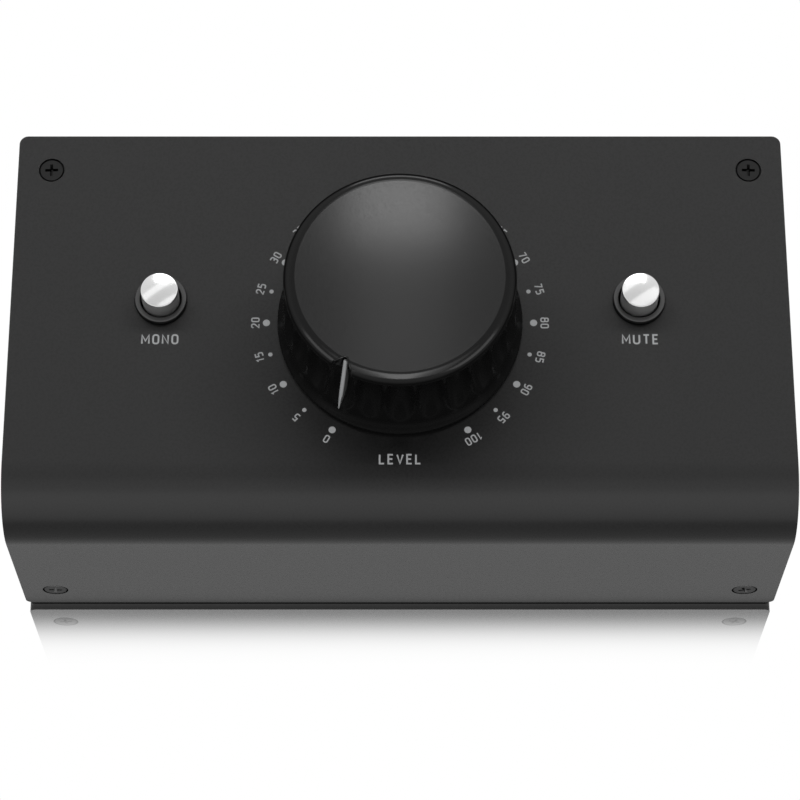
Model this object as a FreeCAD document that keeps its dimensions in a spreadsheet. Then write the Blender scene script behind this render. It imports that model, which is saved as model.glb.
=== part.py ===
"""Desktop monitor controller: a sheet-metal box with one large level knob and two push buttons.

Frame: +Z up, +Y towards the socket side, +X to the right of a person who faces the front.
The origin is the centre of the box's footprint, on the surface that it stands on. Millimetres.

Every size is a cell of the spreadsheet "sizes". Expressions below name those cells by alias.
"""
import FreeCAD, Part
import os
import re
import Sketcher

DOC = FreeCAD.newDocument("monitor_controller")
SHEET = DOC.addObject("Spreadsheet::Sheet", "sizes")
FINISHED = []

SIZES = [
    # box
    ("body_width", 148.0, "cover, side to side"),
    ("body_depth", 80.2, "cover, front wall to rear edge"),
    ("body_height", 47.4, "panel surface above the table"),
    ("cover_thickness", 2.0, "steel of the cover"),
    ("cover_bend_radius", 12.0, "outside of the front bend"),
    ("cover_rear_corner", 1.7, "rounding of the top's rear corners"),
    ("cover_front_corner", 1.5, "rounding of the front wall's lower corners"),
    ("cover_edge_round", 0.3, "softened outer edge of the sheet"),
    ("mat_thickness", 2.2, "rubber mat under the box"),
    ("mat_inset", 0.45, "mat and side walls, in from the cover's edge"),
    ("mat_corner", 0.9, "mat's corner radius"),
    ("tray_thickness", 1.0, "steel of the tray"),
    ("tray_lip_margin", 3.5, "folded lip, inwards of the cover's screws"),
    ("tray_front_height", 13.6, "upstand behind the front wall, above the mat"),
    ("tray_tab_margin", 2.95, "folded tab, inwards of the rear panel's screws"),
    ("panel_thickness", 2.0, "rear panel"),
    ("panel_inset", 0.5, "rear panel, in from the cover's rear edge"),
    # fits
    ("seat_gap", 0.05, "between a fixed piece and its hole"),
    ("running_gap", 0.05, "between the knob's shaft and its bushing, on the radius"),
    ("slide_gap", 0.15, "each side of a button's plunger"),
    # screws
    ("screw_radius", 1.5, "shank"),
    ("screw_length", 6.0, "whole countersunk screw"),
    ("screw_head_radius", 2.5, "countersunk head"),
    ("screw_slot_width", 0.6, "one bar of the cross recess"),
    ("screw_slot_span", 2.4, "cross recess, end to end"),
    ("screw_slot_depth", 0.9, "cross recess"),
    ("cover_screw_inset", 6.5, "top and front screws, in from the cover's sides"),
    ("top_screw_rear_inset", 7.4, "top screws, in from the cover's rear edge"),
    ("front_screw_height", 9.7, "front screws, above the table"),
    ("panel_screw_inset", 4.4, "rear panel's screws, in from the cover's sides"),
    ("panel_screw_low", 4.8, "lower rear screws, above the mat"),
    ("panel_screw_high", 5.9, "upper rear screws, below the cover's sheet"),
    # control board
    ("board_thickness", 1.6, "both circuit boards"),
    ("board_side_margin", 13.6, "control board, beyond the buttons' axes"),
    ("board_front_margin", 2.0, "control board, in front of the upper header"),
    ("board_back_margin", 3.15, "control board, behind the switches"),
    ("standoff_inset", 4.0, "standoffs, in from the control board's sides and front"),
    ("standoff_screw_gap", 0.8, "rear standoffs' screw heads, in front of the connector board"),
    ("standoff_corner", 2.9, "standoff's hexagon, middle to corner"),
    ("standoff_bore_depth", 7.0, "thread in a standoff"),
    ("board_screw_length", 7.0, "shank of a board screw"),
    ("board_screw_head", 2.6, "radius of a board screw's pan head"),
    ("board_screw_head_height", 1.8, "pan head"),
    ("resistor_length", 3.2, "one summing resistor"),
    ("resistor_width", 1.6, "one summing resistor"),
    ("resistor_height", 0.6, "one summing resistor"),
    ("resistor_pitch", 6.0, "between neighbouring resistors"),
    ("resistor_side", 20.0, "first resistor, from the middle"),
    # buttons
    ("button_side", 45.4, "button axis, from the middle"),
    ("button_back", 4.8, "button axis, behind the middle"),
    ("button_travel", 2.5, "full press"),
    ("cap_radius", 3.55, "button cap"),
    ("cap_rise", 5.3, "cap's top above the panel"),
    ("cap_length", 6.2, "cap, top to skirt"),
    ("cap_edge_round", 0.2, "cap's top edge"),
    ("cap_clearance", 0.5, "pressed cap above its switch"),
    ("bezel_radius", 4.95, "bezel ring"),
    ("bezel_bore", 3.97, "bezel ring, inside"),
    ("bezel_rise", 1.15, "bezel ring above the panel"),
    ("bezel_edge_round", 0.25, "bezel's top edges"),
    ("bezel_sleeve", 4.45, "bezel's sleeve through the panel"),
    ("bezel_sleeve_below", 0.6, "sleeve below the panel"),
    ("switch_side", 8.5, "switch case, square"),
    ("switch_height", 8.6, "switch case"),
    ("switch_wall", 0.8, "switch case"),
    ("plunger_side", 3.0, "plunger stem, square"),
    ("plunger_depth_in_cap", 3.4, "stem inside the cap"),
    ("plunger_flange", 5.2, "plunger's shoulder, square"),
    ("plunger_flange_height", 1.4, "plunger's shoulder"),
    ("spring_radius", 1.6, "return spring, centre of the wire"),
    ("spring_wire", 0.2, "wire radius"),
    ("spring_pitch", 0.95, "one turn"),
    ("pin_radius", 0.35, "solder pins"),
    ("pin_below_board", 1.2, "pins below the control board"),
    ("pin_spacing", 5.0, "between the rows of pins"),
    # potentiometer
    ("knob_axis_back", 0.2, "knob axis, behind the middle"),
    ("pot_width", 16.0, "potentiometer case"),
    ("pot_depth", 17.0, "potentiometer case"),
    ("pot_cavity_radius", 6.6, "room for the rotor"),
    ("pot_cavity_height", 4.0, "room for the rotor"),
    ("pot_roof", 1.6, "case above the rotor's room"),
    ("rotor_radius", 6.0, "rotor disc"),
    ("rotor_height", 2.6, "rotor disc"),
    ("shaft_radius", 3.0, "shaft"),
    ("shaft_flat", 1.5, "middle of the shaft to its flat"),
    ("shaft_flat_start", 5.2, "flat begins this far above the panel"),
    ("shaft_rise", 16.6, "shaft's end above the panel"),
    ("bushing_radius", 3.5, "threaded bushing"),
    ("bushing_rise", 4.4, "bushing above the panel"),
    ("washer_radius", 6.0, "washer"),
    ("washer_thickness", 0.5, "washer"),
    ("nut_corner", 5.7, "nut's hexagon, middle to corner"),
    ("nut_thickness", 2.0, "nut"),
    # knob
    ("knob_foot_radius", 23.16, "knob at its foot"),
    ("knob_foot_gap", 0.7, "foot above the panel"),
    ("knob_foot_land", 0.5, "straight edge of the foot"),
    ("knob_waist_radius", 22.0, "where the foot's flare ends"),
    ("knob_waist_height", 3.9, "where the foot's flare ends, above the panel"),
    ("knob_neck_radius", 21.0, "side under the rim"),
    ("rim_radius", 21.47, "cap rim"),
    ("rim_low", 19.35, "rim's lower edge above the panel"),
    ("rim_high", 21.05, "rim's side, upper end"),
    ("rim_round", 1.6, "rim's upper edge"),
    ("crown_height", 22.0, "middle of the domed top"),
    ("flute_count", 24, "flutes round the side"),
    ("flute_floor", 19.2, "deepest line of a flute, from the axis"),
    ("flute_height", 14.0, "height of that deepest line"),
    ("flute_sweep", 18.5, "radius that the flute's floor follows"),
    ("flute_radius", 2.75, "flute across"),
    ("notch_apex", 18.9, "inner end of the pointer's notch"),
    ("notch_width", 4.0, "half the cut at its outer end, outside the rim"),
    ("notch_low", 17.6, "notch's floor above the panel"),
    ("cavity_radius", 17.0, "hollow of the knob"),
    ("cavity_roof", 17.0, "hollow's roof above the panel"),
    ("cavity_mouth_radius", 20.4, "hollow at the foot"),
    ("cavity_mouth_height", 3.0, "straight part of the mouth"),
    ("cavity_taper_height", 8.5, "upper end of the mouth's taper"),
    ("hub_radius", 6.2, "plastic hub"),
    ("hub_low", 5.6, "hub's lower end above the panel"),
    ("insert_radius", 4.2, "brass insert in the hub"),
    ("pointer_thickness", 0.75, "pointer blade"),
    ("pointer_top_radius", 19.4, "blade's edge at its upper end"),
    ("pointer_top", 21.0, "blade's upper end above the panel"),
    ("pointer_foot_radius", 22.0, "blade's edge at its lower end"),
    ("pointer_foot", 3.9, "blade's lower end above the panel"),
    ("pointer_root_radius", 18.0, "blade's inner edge"),
    ("pointer_root_low", 9.0, "lower end of the straight inner edge"),
    ("pointer_angle", 240.0, "pointer at the scale's zero, from +X"),
    # sockets
    ("socket_side_inset", 21.0, "outer sockets' axes, in from the cover's sides"),
    ("socket_pitch", 27.0, "between neighbouring sockets"),
    ("socket_flange_width", 26.0, "flange"),
    ("socket_flange_height", 31.0, "flange"),
    ("socket_flange_thickness", 2.0, "flange outside the panel"),
    ("socket_flange_corner", 3.0, "flange"),
    ("socket_radius", 11.8, "barrel"),
    ("socket_depth", 30.0, "barrel behind the panel"),
    ("socket_screw_across", 19.0, "the two flange screws, sideways"),
    ("socket_screw_up", 24.0, "the two flange screws, upwards"),
    ("input_mouth_radius", 9.65, "opening round the input insert"),
    ("input_insert_radius", 7.95, "insert"),
    ("input_insert_foot", 8.0, "thick end of the insert"),
    ("input_back_wall", 1.5, "behind the insert"),
    ("jack_bore_radius", 3.25, "opening for a large plug"),
    ("output_mouth_radius", 8.15, "opening round the output pins"),
    ("output_mouth_depth", 14.0, "from the flange's face"),
    ("contact_circle", 5.3, "contacts from the socket's axis"),
    ("contact_bore", 1.3, "contact opening in the insert"),
    ("contact_bore_depth", 13.0, "contact opening in the insert"),
    ("output_pin_radius", 1.2, "output pin"),
    ("output_pin_short", 1.0, "pin's tip behind the flange's face"),
    ("contact_tail_radius", 0.45, "tail through the connector board"),
    ("contact_tail_end", 1.0, "tail past the connector board"),
    ("connector_board_margin", 13.0, "connector board, beyond the outer sockets' axes"),
    ("connector_board_low", 3.3, "connector board's lower edge above the mat"),
    ("connector_board_gap", 1.8, "connector board, below the control board"),
    # small jack
    ("aux_case_width", 12.0, "small jack's case"),
    ("aux_case_height", 11.0, "small jack's case"),
    ("aux_case_depth", 14.0, "small jack's case"),
    ("aux_bore_radius", 1.8, "opening for a small plug"),
    ("aux_bore_depth", 16.0, "opening for a small plug"),
    ("aux_bushing_radius", 3.0, "small jack's bushing"),
    ("aux_bushing_rise", 2.8, "bushing outside the panel"),
    ("aux_nut_radius", 4.6, "small jack's ring nut"),
    ("aux_nut_thickness", 2.0, "small jack's ring nut"),
    ("aux_lead_spacing", 3.0, "between its leads"),
    # ribbon
    ("ribbon_width", 20.0, "flat cable"),
    ("ribbon_thickness", 0.9, "flat cable"),
    ("ribbon_bend", 3.5, "cable's bend, at its middle"),
    ("ribbon_run", 6.0, "cable's upright part, at least this far in front of the lower plug"),
    ("ribbon_height", 11.8, "lower header above the mat"),
    ("header_length", 22.0, "plug and header"),
    ("header_width", 5.0, "plug and header"),
    ("header_height", 6.0, "header from its board"),
    ("header_gap", 2.35, "upper header, at least this far in front of the potentiometer's pins"),
    ("plug_height", 4.0, "plug on the header"),
]
ALIASES = {name for name, _, _ in SIZES}

# places that several pieces share
TOP = "body_height"
UNDER = "(body_height - cover_thickness)"
FRONT = "(-body_depth / 2)"
REAR = "(body_depth / 2)"
WALL_IN = "(cover_thickness - body_depth / 2)"
SIDE = "(body_width / 2 - mat_inset)"
PANEL_OUT = "(body_depth / 2 - panel_inset)"
PANEL_IN = "(body_depth / 2 - panel_inset - panel_thickness)"
SWITCH_TOP = "(body_height + cap_rise - cap_length - button_travel - cap_clearance)"
BOARD_TOP = f"({SWITCH_TOP} - switch_height)"
BOARD_LOW = f"({BOARD_TOP} - board_thickness)"
COVER_SCREW_SIDE = "(body_width / 2 - cover_screw_inset)"
TOP_SCREW_BACK = "(body_depth / 2 - top_screw_rear_inset)"
PANEL_SCREW_SIDE = "(body_width / 2 - panel_screw_inset)"
PANEL_SCREW_HEIGHTS = ["(mat_thickness + panel_screw_low)", f"({UNDER} - panel_screw_high)"]
OUTER_SOCKET = "(body_width / 2 - socket_side_inset)"
INNER_SOCKET = f"({OUTER_SOCKET} - socket_pitch)"
# the sockets' axes are midway in the height that is free for them: their lower screws stay
# above the tray's floor, and their barrels below the control board
SOCKET_LOWEST = "(mat_thickness + tray_thickness + screw_radius + socket_screw_up / 2)"
SOCKET_HEIGHT = f"(({SOCKET_LOWEST} + {BOARD_LOW} - socket_radius) / 2)"
SOCKET_END = f"({PANEL_IN} - socket_depth)"
CONNECTOR_FACE = f"({SOCKET_END} - board_thickness)"
HEADER_FRONT = f"({CONNECTOR_FACE} - header_height)"
PLUG_FRONT = f"({HEADER_FRONT} - plug_height)"
POT_PINS_FRONT = "(knob_axis_back - pin_spacing - pin_radius)"
RIBBON_BACK = f"min({PLUG_FRONT} - ribbon_run, {POT_PINS_FRONT} - header_gap - header_width / 2)"
RIBBON_HEIGHT = "(mat_thickness + ribbon_height)"
BOARD_SIDE = "(button_side + board_side_margin)"
BOARD_FRONT = f"({RIBBON_BACK} - header_width / 2 - board_front_margin)"
BOARD_BACK = "(button_back + switch_side / 2 + board_back_margin)"
STANDOFF_SIDE = f"({BOARD_SIDE} - standoff_inset)"
STANDOFF_FRONT = f"({BOARD_FRONT} + standoff_inset)"
STANDOFF_BACK = f"({CONNECTOR_FACE} - standoff_screw_gap - board_screw_head)"
CONTACT_ANGLES = (40, 140, 270)

FACING_REAR = FreeCAD.Rotation(FreeCAD.Vector(0, 1, 1), 180)
FACING_FRONT = FreeCAD.Rotation(FreeCAD.Vector(1, 0, 0), 90)
FACING_DOWN = FreeCAD.Rotation(FreeCAD.Vector(1, 0, 0), 180)
UPRIGHT = FreeCAD.Rotation()


# ---------------------------------------------------------------- the sheet and its expressions


def fill_sheet():
    """Writes each size into the sheet: its name, its value under that alias, and its meaning."""
    for row, (name, number, meaning) in enumerate(SIZES, 1):
        SHEET.set(f"A{row}", name)
        SHEET.set(f"B{row}", str(number))
        SHEET.setAlias(f"B{row}", name)
        SHEET.set(f"C{row}", meaning)
    DOC.recompute()


def full(text):
    """The expression with each alias written as a cell of the sheet."""
    return re.sub(r"[a-z_]+", lambda m: f"sizes.{m.group()}" if m.group() in ALIASES else m.group(), text)


def value(text):
    """What an expression comes to, in millimetres or degrees."""
    return float(SHEET.evalExpression(full(text)))


def bind(thing, path, text):
    """Ties a property to an expression."""
    thing.setExpression(path, full(text))


def place(thing, across="0", back="0", up="0", turn=UPRIGHT):
    """Puts a piece's own origin at a place given by expressions."""
    spot = FreeCAD.Vector(value(across), value(back), value(up))
    thing.Placement = FreeCAD.Placement(spot, turn)
    for path, text in (("x", across), ("y", back), ("z", up)):
        bind(thing, f"Placement.Base.{path}", text)
    return thing


def finish(thing, label):
    """Names a piece as a node of the part."""
    thing.Label = label
    FINISHED.append(thing)
    return thing


# ---------------------------------------------------------------- Part Design helpers


def new_body(name):
    """An empty body."""
    return DOC.addObject("PartDesign::Body", name)


def sketch_on(body, role, offset="0"):
    """A sketch on one of the body's own origin planes, moved along that plane's normal."""
    sketch = body.newObject("Sketcher::SketchObject", "sketch")
    plane = next(f for f in body.Origin.OriginFeatures if f.Role == role)
    sketch.AttachmentSupport = [(plane, "")]
    sketch.MapMode = "FlatFace"
    bind(sketch, "AttachmentOffset.Base.z", offset)
    return sketch


def pin_point(sketch, geometry, point, across, up):
    """Fixes a point of the sketch by its two distances from the origin."""
    for kind, axis, text in (("DistanceX", -2, across), ("DistanceY", -1, up)):
        if text == "0":
            sketch.addConstraint(Sketcher.Constraint("PointOnObject", geometry, point, axis))
            continue
        index = sketch.addConstraint(Sketcher.Constraint(kind, -1, 1, geometry, point, value(text)))
        sketch.renameConstraint(index, f"size{index}")
        bind(sketch, f"Constraints.size{index}", text)


def outline(sketch, corners):
    """A closed outline of straight lines through corners, each given as (across, up)."""
    spots = [FreeCAD.Vector(value(across), value(up), 0) for across, up in corners]
    first = sketch.GeometryCount
    count = len(spots)
    for index, spot in enumerate(spots):
        sketch.addGeometry(Part.LineSegment(spot, spots[(index + 1) % count]))
    for index, (across, up) in enumerate(corners):
        following = first + (index + 1) % count
        sketch.addConstraint(Sketcher.Constraint("Coincident", first + index, 2, following, 1))
        pin_point(sketch, first + index, 1, across, up)


def rectangle(sketch, left, right, low, high):
    """A rectangle from its four sides' places."""
    outline(sketch, [(left, low), (right, low), (right, high), (left, high)])


def circle(sketch, across, up, radius):
    """A circle whose centre and radius are expressions."""
    centre = FreeCAD.Vector(value(across), value(up), 0)
    index = sketch.addGeometry(Part.Circle(centre, FreeCAD.Vector(0, 0, 1), value(radius)))
    pin_point(sketch, index, 3, across, up)
    constraint = sketch.addConstraint(Sketcher.Constraint("Radius", index, value(radius)))
    sketch.renameConstraint(constraint, f"size{constraint}")
    bind(sketch, f"Constraints.size{constraint}", radius)


def pad(body, sketch, length, symmetric=False, backwards=False):
    """Adds material along the sketch's normal."""
    feature = body.newObject("PartDesign::Pad", "pad")
    feature.Profile = sketch
    feature.SideType = "Symmetric" if symmetric else "One side"
    feature.Reversed = backwards
    bind(feature, "Length", length)
    DOC.recompute()
    return feature


def pocket(body, sketch, depth=None, symmetric=False, backwards=False):
    """Removes material against the sketch's normal, through everything if no depth is given."""
    before = body.Shape.Volume
    feature = body.newObject("PartDesign::Pocket", "pocket")
    feature.Profile = sketch
    feature.Reversed = backwards
    if depth is None:
        feature.Type = "ThroughAll"
    else:
        feature.SideType = "Symmetric" if symmetric else "One side"
        bind(feature, "Length", depth)
    DOC.recompute()
    if body.Shape.Volume >= before:
        raise RuntimeError(f"a pocket of {body.Name} cuts nothing")
    return feature


def turned(body, sketch, kind="PartDesign::Revolution"):
    """Turns a profile a full turn about the sketch's vertical axis."""
    feature = body.newObject(kind, "turned")
    feature.Profile = sketch
    feature.ReferenceAxis = (sketch, ["V_Axis"])
    feature.Angle = 360
    DOC.recompute()
    return feature


def mirrored(body, features, role):
    """Repeats features on the other side of one of the body's origin planes."""
    feature = body.newObject("PartDesign::Mirrored", "mirrored")
    feature.Originals = features
    plane = next(f for f in body.Origin.OriginFeatures if f.Role == role)
    feature.MirrorPlane = (plane, [""])
    body.Tip = feature
    DOC.recompute()
    return feature


def dress(body, kind, size, chosen):
    """A fillet or chamfer on each edge of the body that the test picks."""
    base = body.Tip
    names = [f"Edge{n}" for n, edge in enumerate(base.Shape.Edges, 1) if chosen(edge)]
    if not names:
        raise RuntimeError(f"no edge of {body.Name} was picked")
    feature = body.newObject(f"PartDesign::{kind}", kind.lower())
    feature.Base = (base, names)
    bind(feature, "Radius" if kind == "Fillet" else "Size", size)
    DOC.recompute()
    return feature


def lies_at(edge, across=None, back=None, up=None):
    """True if the whole edge lies at the given places, each an expression or None."""
    box = edge.BoundBox
    spans = ((across, box.XMin, box.XMax), (back, box.YMin, box.YMax), (up, box.ZMin, box.ZMax))
    return all(
        text is None or max(abs(low - value(text)), abs(high - value(text))) < 0.01
        for text, low, high in spans
    )


# ---------------------------------------------------------------- Part helpers


def box(across, back, up):
    """A block from three pairs of expressions: its lower and upper ends along X, Y and Z."""
    block = DOC.addObject("Part::Box", "block")
    for path, (low, high) in (("Length", across), ("Width", back), ("Height", up)):
        bind(block, path, f"({high}) - ({low})")
    return place(block, across[0], back[0], up[0])


def rod(radius, low, high, across="0", other="0", along="up"):
    """A cylinder that runs up, or back, between low and high; other is its back, or its height."""
    cylinder = DOC.addObject("Part::Cylinder", "rod")
    bind(cylinder, "Radius", radius)
    bind(cylinder, "Height", f"({high}) - ({low})")
    if along == "up":
        return place(cylinder, across, other, low)
    return place(cylinder, across, low, other, FACING_REAR)


def cut(base, tool):
    """The base less the tool."""
    result = DOC.addObject("Part::Cut", "cut")
    result.Base = base
    result.Tool = tool
    return result


def joined(pieces):
    """Pieces that are one solid."""
    result = DOC.addObject("Part::MultiFuse", "joined")
    result.Shapes = pieces
    return result


def grouped(pieces):
    """Pieces that stay separate solids of one node."""
    result = DOC.addObject("Part::Compound", "grouped")
    result.Links = pieces
    return result


def copy_of(master, across, back, up, turn=UPRIGHT):
    """Another copy of a master piece."""
    link = DOC.addObject("App::Link", "copy")
    link.LinkedObject = master
    link.LinkTransform = False
    return place(link, across, back, up, turn)


# ---------------------------------------------------------------- enclosure


def make_top_cover():
    """One bent sheet: the top, the round front edge and the front wall."""
    body = new_body("cover")
    profile = sketch_on(body, "YZ_Plane")
    outline(
        profile,
        [
            (FRONT, "mat_thickness"),
            (FRONT, TOP),
            (REAR, TOP),
            (REAR, UNDER),
            (WALL_IN, UNDER),
            (WALL_IN, "mat_thickness"),
        ],
    )
    pad(body, profile, "body_width", symmetric=True)
    dress(body, "Fillet", "cover_bend_radius", lambda e: lies_at(e, back=FRONT, up=TOP))
    inner_bend = "cover_bend_radius - cover_thickness"
    dress(body, "Fillet", inner_bend, lambda e: lies_at(e, back=WALL_IN, up=UNDER))
    sides = ("body_width / 2", "-body_width / 2")
    for corner, spots in (
        ("cover_rear_corner", [{"across": side, "back": REAR} for side in sides]),
        ("cover_front_corner", [{"across": side, "up": "mat_thickness"} for side in sides]),
    ):
        dress(body, "Fillet", corner, lambda e: any(lies_at(e, **spot) for spot in spots))
    # the rounding runs on from the top's side edges, round the whole outer face
    dress(body, "Fillet", "cover_edge_round", lambda e: any(lies_at(e, across=s, up=TOP) for s in sides))

    holes = sketch_on(body, "XY_Plane", TOP)
    circle(holes, "0", "knob_axis_back", "bushing_radius + seat_gap")
    for side in ("", "-"):
        circle(holes, f"{side}button_side", "button_back", "bezel_sleeve + seat_gap")
        circle(holes, f"{side}{COVER_SCREW_SIDE}", TOP_SCREW_BACK, "screw_radius + seat_gap")
    pocket(body, holes)
    front_holes = sketch_on(body, "XZ_Plane", "body_depth / 2")
    for side in ("", "-"):
        circle(front_holes, f"{side}{COVER_SCREW_SIDE}", "front_screw_height", "screw_radius + seat_gap")
    pocket(body, front_holes)
    countersink(body, lambda e: lies_at(e, up=TOP))
    countersink(body, lambda e: lies_at(e, back=FRONT))
    return finish(body, "top_cover")


def countersink(body, on_face):
    """Countersinks the screw holes on one face."""
    dress(
        body,
        "Chamfer",
        "screw_head_radius - screw_radius",
        lambda e: on_face(e) and is_ring(e, "screw_radius + seat_gap"),
    )


def is_ring(edge, radius):
    """True if the edge is a circle of that radius."""
    return isinstance(edge.Curve, Part.Circle) and abs(edge.Curve.Radius - value(radius)) < 0.001


def make_chassis_tray():
    """Folded tray: floor, side walls with lips and tabs, and a low wall behind the front."""
    body = new_body("tray")
    floor = sketch_on(body, "XY_Plane", "mat_thickness")
    rectangle(floor, f"-{SIDE}", SIDE, WALL_IN, PANEL_IN)
    pad(body, floor, "tray_thickness")

    upstand = sketch_on(body, "XZ_Plane", f"-{WALL_IN} - tray_thickness")
    high = "mat_thickness + tray_front_height"
    rectangle(upstand, f"-{SIDE}", SIDE, "mat_thickness", high)
    pad(body, upstand, "tray_thickness")

    wall = sketch_on(body, "YZ_Plane", f"{SIDE} - tray_thickness")
    rectangle(wall, WALL_IN, PANEL_IN, "mat_thickness", UNDER)
    wall = pad(body, wall, "tray_thickness")
    lip = sketch_on(body, "XY_Plane", f"{UNDER} - tray_thickness")
    rectangle(lip, f"{COVER_SCREW_SIDE} - tray_lip_margin", SIDE, f"{FRONT} + cover_bend_radius", PANEL_IN)
    lip = pad(body, lip, "tray_thickness")
    tab = sketch_on(body, "XZ_Plane", f"-{PANEL_IN}")
    rectangle(tab, f"{PANEL_SCREW_SIDE} - tray_tab_margin", SIDE, "mat_thickness", UNDER)
    tab = pad(body, tab, "tray_thickness")
    mirrored(body, [wall, lip, tab], "YZ_Plane")
    bend = "cover_bend_radius - cover_thickness"
    dress(body, "Fillet", bend, lambda e: lies_at(e, back=WALL_IN, up=UNDER))

    lip_holes = sketch_on(body, "XY_Plane", UNDER)
    front_holes = sketch_on(body, "XZ_Plane", f"-{WALL_IN}")
    rear_holes = sketch_on(body, "XZ_Plane", f"-{PANEL_IN}")
    for side in ("", "-"):
        circle(lip_holes, f"{side}{COVER_SCREW_SIDE}", TOP_SCREW_BACK, "screw_radius + seat_gap")
        circle(front_holes, f"{side}{COVER_SCREW_SIDE}", "front_screw_height", "screw_radius + seat_gap")
        for height in PANEL_SCREW_HEIGHTS:
            circle(rear_holes, f"{side}{PANEL_SCREW_SIDE}", height, "screw_radius + seat_gap")
    pocket(body, lip_holes, "tray_thickness")
    pocket(body, front_holes, "tray_thickness")
    pocket(body, rear_holes, "tray_thickness", backwards=True)
    return finish(body, "chassis_tray")


def make_rear_panel():
    """Flat plate that carries the sockets."""
    body = new_body("panel")
    face = sketch_on(body, "XZ_Plane", f"-{PANEL_OUT}")
    rectangle(face, f"-{SIDE}", SIDE, "mat_thickness", UNDER)
    circle(face, "0", SOCKET_HEIGHT, "aux_bushing_radius + seat_gap")
    for side in ("", "-"):
        for spot in (INNER_SOCKET, OUTER_SOCKET):
            circle(face, f"{side}{spot}", SOCKET_HEIGHT, "socket_radius + seat_gap")
            for across, up in flange_screws(f"{side}{spot}"):
                circle(face, across, up, "screw_radius + seat_gap")
        for height in PANEL_SCREW_HEIGHTS:
            circle(face, f"{side}{PANEL_SCREW_SIDE}", height, "screw_radius + seat_gap")
    pad(body, face, "panel_thickness")
    countersink(body, lambda e: lies_at(e, back=PANEL_OUT) and on_panel_edge(e))
    return finish(body, "rear_panel")


def on_panel_edge(edge):
    """True for the panel's own screw holes, which are beyond the sockets' flanges."""
    return abs(edge.BoundBox.Center.x) > value(f"{PANEL_SCREW_SIDE} - screw_head_radius")


def flange_screws(across):
    """The two screws of a socket's flange, at opposite corners."""
    low = (f"{across} - socket_screw_across / 2", f"{SOCKET_HEIGHT} - socket_screw_up / 2")
    high = (f"{across} + socket_screw_across / 2", f"{SOCKET_HEIGHT} + socket_screw_up / 2")
    return [low, high]


def make_base_mat():
    """Rubber sheet under the whole box."""
    body = new_body("mat")
    sheet = sketch_on(body, "XY_Plane")
    rectangle(sheet, f"-{SIDE}", SIDE, f"{FRONT} + mat_inset", PANEL_OUT)
    pad(body, sheet, "mat_thickness")
    corners = [(s, b) for s in (SIDE, f"-{SIDE}") for b in (f"{FRONT} + mat_inset", PANEL_OUT)]
    dress(body, "Fillet", "mat_corner", lambda e: any(lies_at(e, across=s, back=b) for s, b in corners))
    return finish(body, "base_mat")


# ---------------------------------------------------------------- screws


def make_countersunk_master():
    """Countersunk cross-recess screw, its head's face at its own origin, pointing down."""
    body = new_body("countersunk")
    side = sketch_on(body, "XZ_Plane")
    outline(
        side,
        [
            ("0", "0"),
            ("screw_head_radius", "0"),
            ("screw_radius", "screw_radius - screw_head_radius"),
            ("screw_radius", "-screw_length"),
            ("0", "-screw_length"),
        ],
    )
    turned(body, side)
    cross_recess(body, "0")
    return body


def make_pan_master():
    """Pan-head screw, the underside of its head at its own origin, pointing down."""
    body = new_body("pan_head")
    side = sketch_on(body, "XZ_Plane")
    outline(
        side,
        [
            ("0", "board_screw_head_height"),
            ("board_screw_head", "board_screw_head_height"),
            ("board_screw_head", "0"),
            ("screw_radius", "0"),
            ("screw_radius", "-board_screw_length"),
            ("0", "-board_screw_length"),
        ],
    )
    turned(body, side)
    cross_recess(body, "board_screw_head_height")
    return body


def cross_recess(body, height):
    """Cuts the cross that a screwdriver fits."""
    half = "screw_slot_width / 2"
    end = "screw_slot_span / 2"
    cross = sketch_on(body, "XY_Plane", height)
    outline(
        cross,
        [
            (end, f"-{half}"),
            (end, half),
            (half, half),
            (half, end),
            (f"-{half}", end),
            (f"-{half}", half),
            (f"-{end}", half),
            (f"-{end}", f"-{half}"),
            (f"-{half}", f"-{half}"),
            (f"-{half}", f"-{end}"),
            (half, f"-{end}"),
            (half, f"-{half}"),
        ],
    )
    pocket(body, cross, "screw_slot_depth")


def make_screws():
    """The screws of the cover, the rear panel, the sockets and the control board."""
    countersunk = make_countersunk_master()
    pan = make_pan_master()
    sides = ("", "-")
    top = [copy_of(countersunk, f"{s}{COVER_SCREW_SIDE}", TOP_SCREW_BACK, TOP) for s in sides]
    finish(grouped(top), "cover_screws_top")
    front = [
        copy_of(countersunk, f"{s}{COVER_SCREW_SIDE}", FRONT, "front_screw_height", FACING_FRONT)
        for s in sides
    ]
    finish(grouped(front), "cover_screws_front")
    rear = [
        copy_of(countersunk, f"{s}{PANEL_SCREW_SIDE}", PANEL_OUT, height, FACING_REAR)
        for s in sides
        for height in PANEL_SCREW_HEIGHTS
    ]
    finish(grouped(rear), "rear_panel_screws")
    flange_face = f"{PANEL_OUT} + socket_flange_thickness"
    sockets = [
        copy_of(pan, across, flange_face, up, FACING_REAR)
        for s in sides
        for spot in (INNER_SOCKET, OUTER_SOCKET)
        for across, up in flange_screws(f"{s}{spot}")
    ]
    finish(grouped(sockets), "socket_screws")
    board = [
        copy_of(pan, f"{s}{STANDOFF_SIDE}", back, BOARD_LOW, FACING_DOWN)
        for s in sides
        for back in (STANDOFF_FRONT, STANDOFF_BACK)
    ]
    finish(grouped(board), "board_screws")


# ---------------------------------------------------------------- boards


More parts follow.
